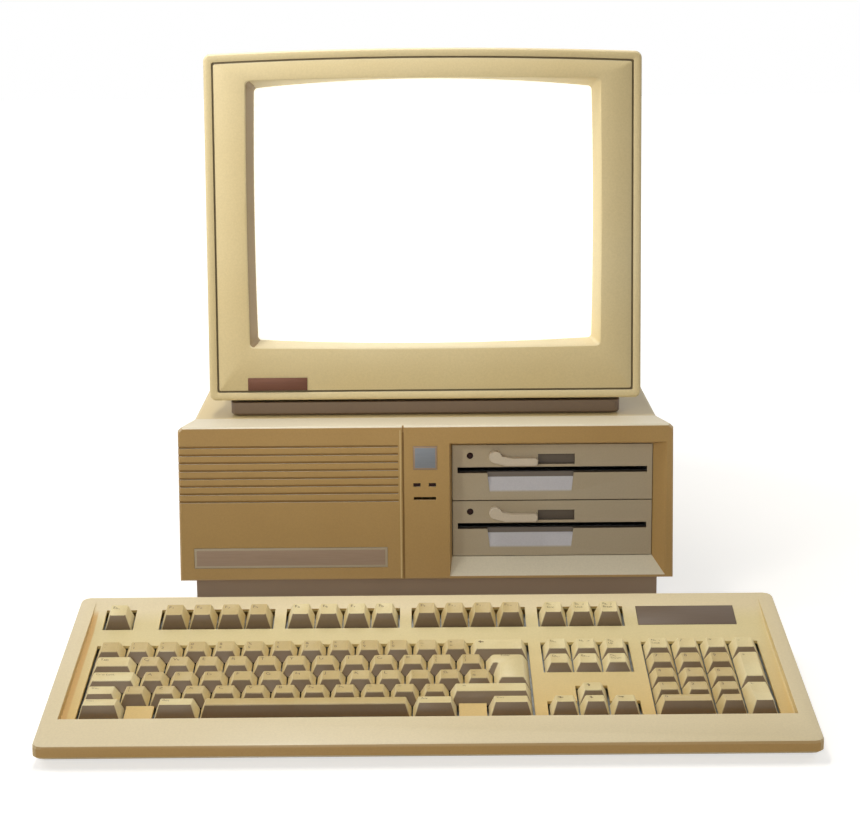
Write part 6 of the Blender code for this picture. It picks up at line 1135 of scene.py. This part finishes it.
def pale_floor():
    """Paper that looks white, and whiter with distance, while near the object it keeps the soft shadow."""
    floor_mesh = bmesh.new()
    bmesh.ops.create_grid(floor_mesh, x_segments=2, y_segments=2, size=6.0)
    mesh = bpy.data.meshes.new("studio_floor")
    floor_mesh.to_mesh(mesh)
    floor_mesh.free()
    floor = put_in_scene("studio_floor", mesh)
    material, tree, shader, place = new_finish("studio_paper", Roughness=0.9, Base_Color=colour("C9C7C3"),
                                               Emission_Color=WHITE)
    away = add_node(tree, "ShaderNodeVectorMath", {0: place}, operation="LENGTH")
    paleness = add_node(tree, "ShaderNodeMapRange", {
        "Value": away.outputs["Value"], "From Min": 0.45, "From Max": 1.1, "To Min": 0.62, "To Max": 1.0})
    glow = add_node(tree, "ShaderNodeMath", {0: seen_directly(tree), 1: paleness.outputs["Result"]},
                    operation="MULTIPLY")
    tree.links.new(glow.outputs[0], shader.inputs["Emission Strength"])
    mesh.materials.append(material)


def studio_light():
    """A large overhead box, side strips, a front fill, and a spot that rakes the monitor's face."""
    world = bpy.data.worlds.new("studio_world")
    bpy.context.scene.world = world
    world.use_nodes = True
    tree = world.node_tree
    background = tree.nodes["Background"]
    strength = add_node(tree, "ShaderNodeMapRange", {
        "Value": seen_directly(tree), "To Min": AMBIENT, "To Max": 1.0})
    tree.links.new(strength.outputs["Result"], background.inputs["Strength"])
    background.inputs["Color"].default_value = WHITE

    for name, kind, place, target, power, tone, size in (
            ("overhead_box", "AREA", (-0.20, 0.0, 1.30), (0, -0.08, 0), 9.3, "FFFAF2", (0.9, 0.22)),
            ("left_strip", "AREA", (-1.05, 0.05, 0.80), (0, 0.0, 0.10), 4.2, "F4F6FF", (0.4, 0.8)),
            ("right_strip", "AREA", (1.10, 0.05, 0.85), (0, 0.0, 0.10), 2.2, "FFFFFF", (0.4, 0.8)),
            ("front_fill", "AREA", (-0.35, -1.9, 0.75), (0.05, 0, 0.10), 6.5, "FFFAF0", (0.8, 0.5)),
            ("monitor_spot", "SPOT", (-1.15, -1.15, 0.95), (-0.12, 0.0, 0.36), 56, "FFFAEE", None)):
        lamp = bpy.data.lights.new(name, kind)
        lamp.energy = power
        lamp.color = colour(tone)[:3]
        if size:
            lamp.shape = "RECTANGLE"
            lamp.size, lamp.size_y = size
        else:
            lamp.spot_size = math.radians(21)
            lamp.spot_blend = 1.0
            lamp.shadow_soft_size = 0.12
        holder = put_in_scene(name, lamp)
        holder.location = place
        holder.rotation_euler = (Vector(target) - Vector(place)).to_track_quat("-Z", "Y").to_euler()


def photo_camera():
    """The photograph's viewpoint, found from the outlines of all three units."""
    image_width, focal_pixels, shift_x, shift_y = 860, 1971.3, 5.01, -40
    distance, height = 1417.04 * MM, 471.73 * MM
    downward, roll = 0.19908, -0.00833
    camera = bpy.data.cameras.new("photo_camera")
    camera.sensor_width = 36.0
    camera.lens = camera.sensor_width * focal_pixels / image_width
    camera.shift_x = shift_x / image_width
    camera.shift_y = shift_y / image_width
    camera.clip_start, camera.clip_end = 0.05, 50
    holder = put_in_scene("photo_camera", camera)
    holder.matrix_world = (Matrix.Translation((0, UNIT_FRONT - distance, height))
                           @ Matrix.Rotation(math.pi / 2 - downward, 4, "X") @ Matrix.Rotation(roll, 4, "Z"))
    bpy.context.scene.camera = holder


dress_solids()
monitor_front()
picture_tube()
keyboard_keys()
lower_shell()
bare_panels()
rear_details()
monitor_rear_details()
pale_floor()
studio_light()
photo_camera()
bpy.context.scene.view_settings.view_transform = "Standard"
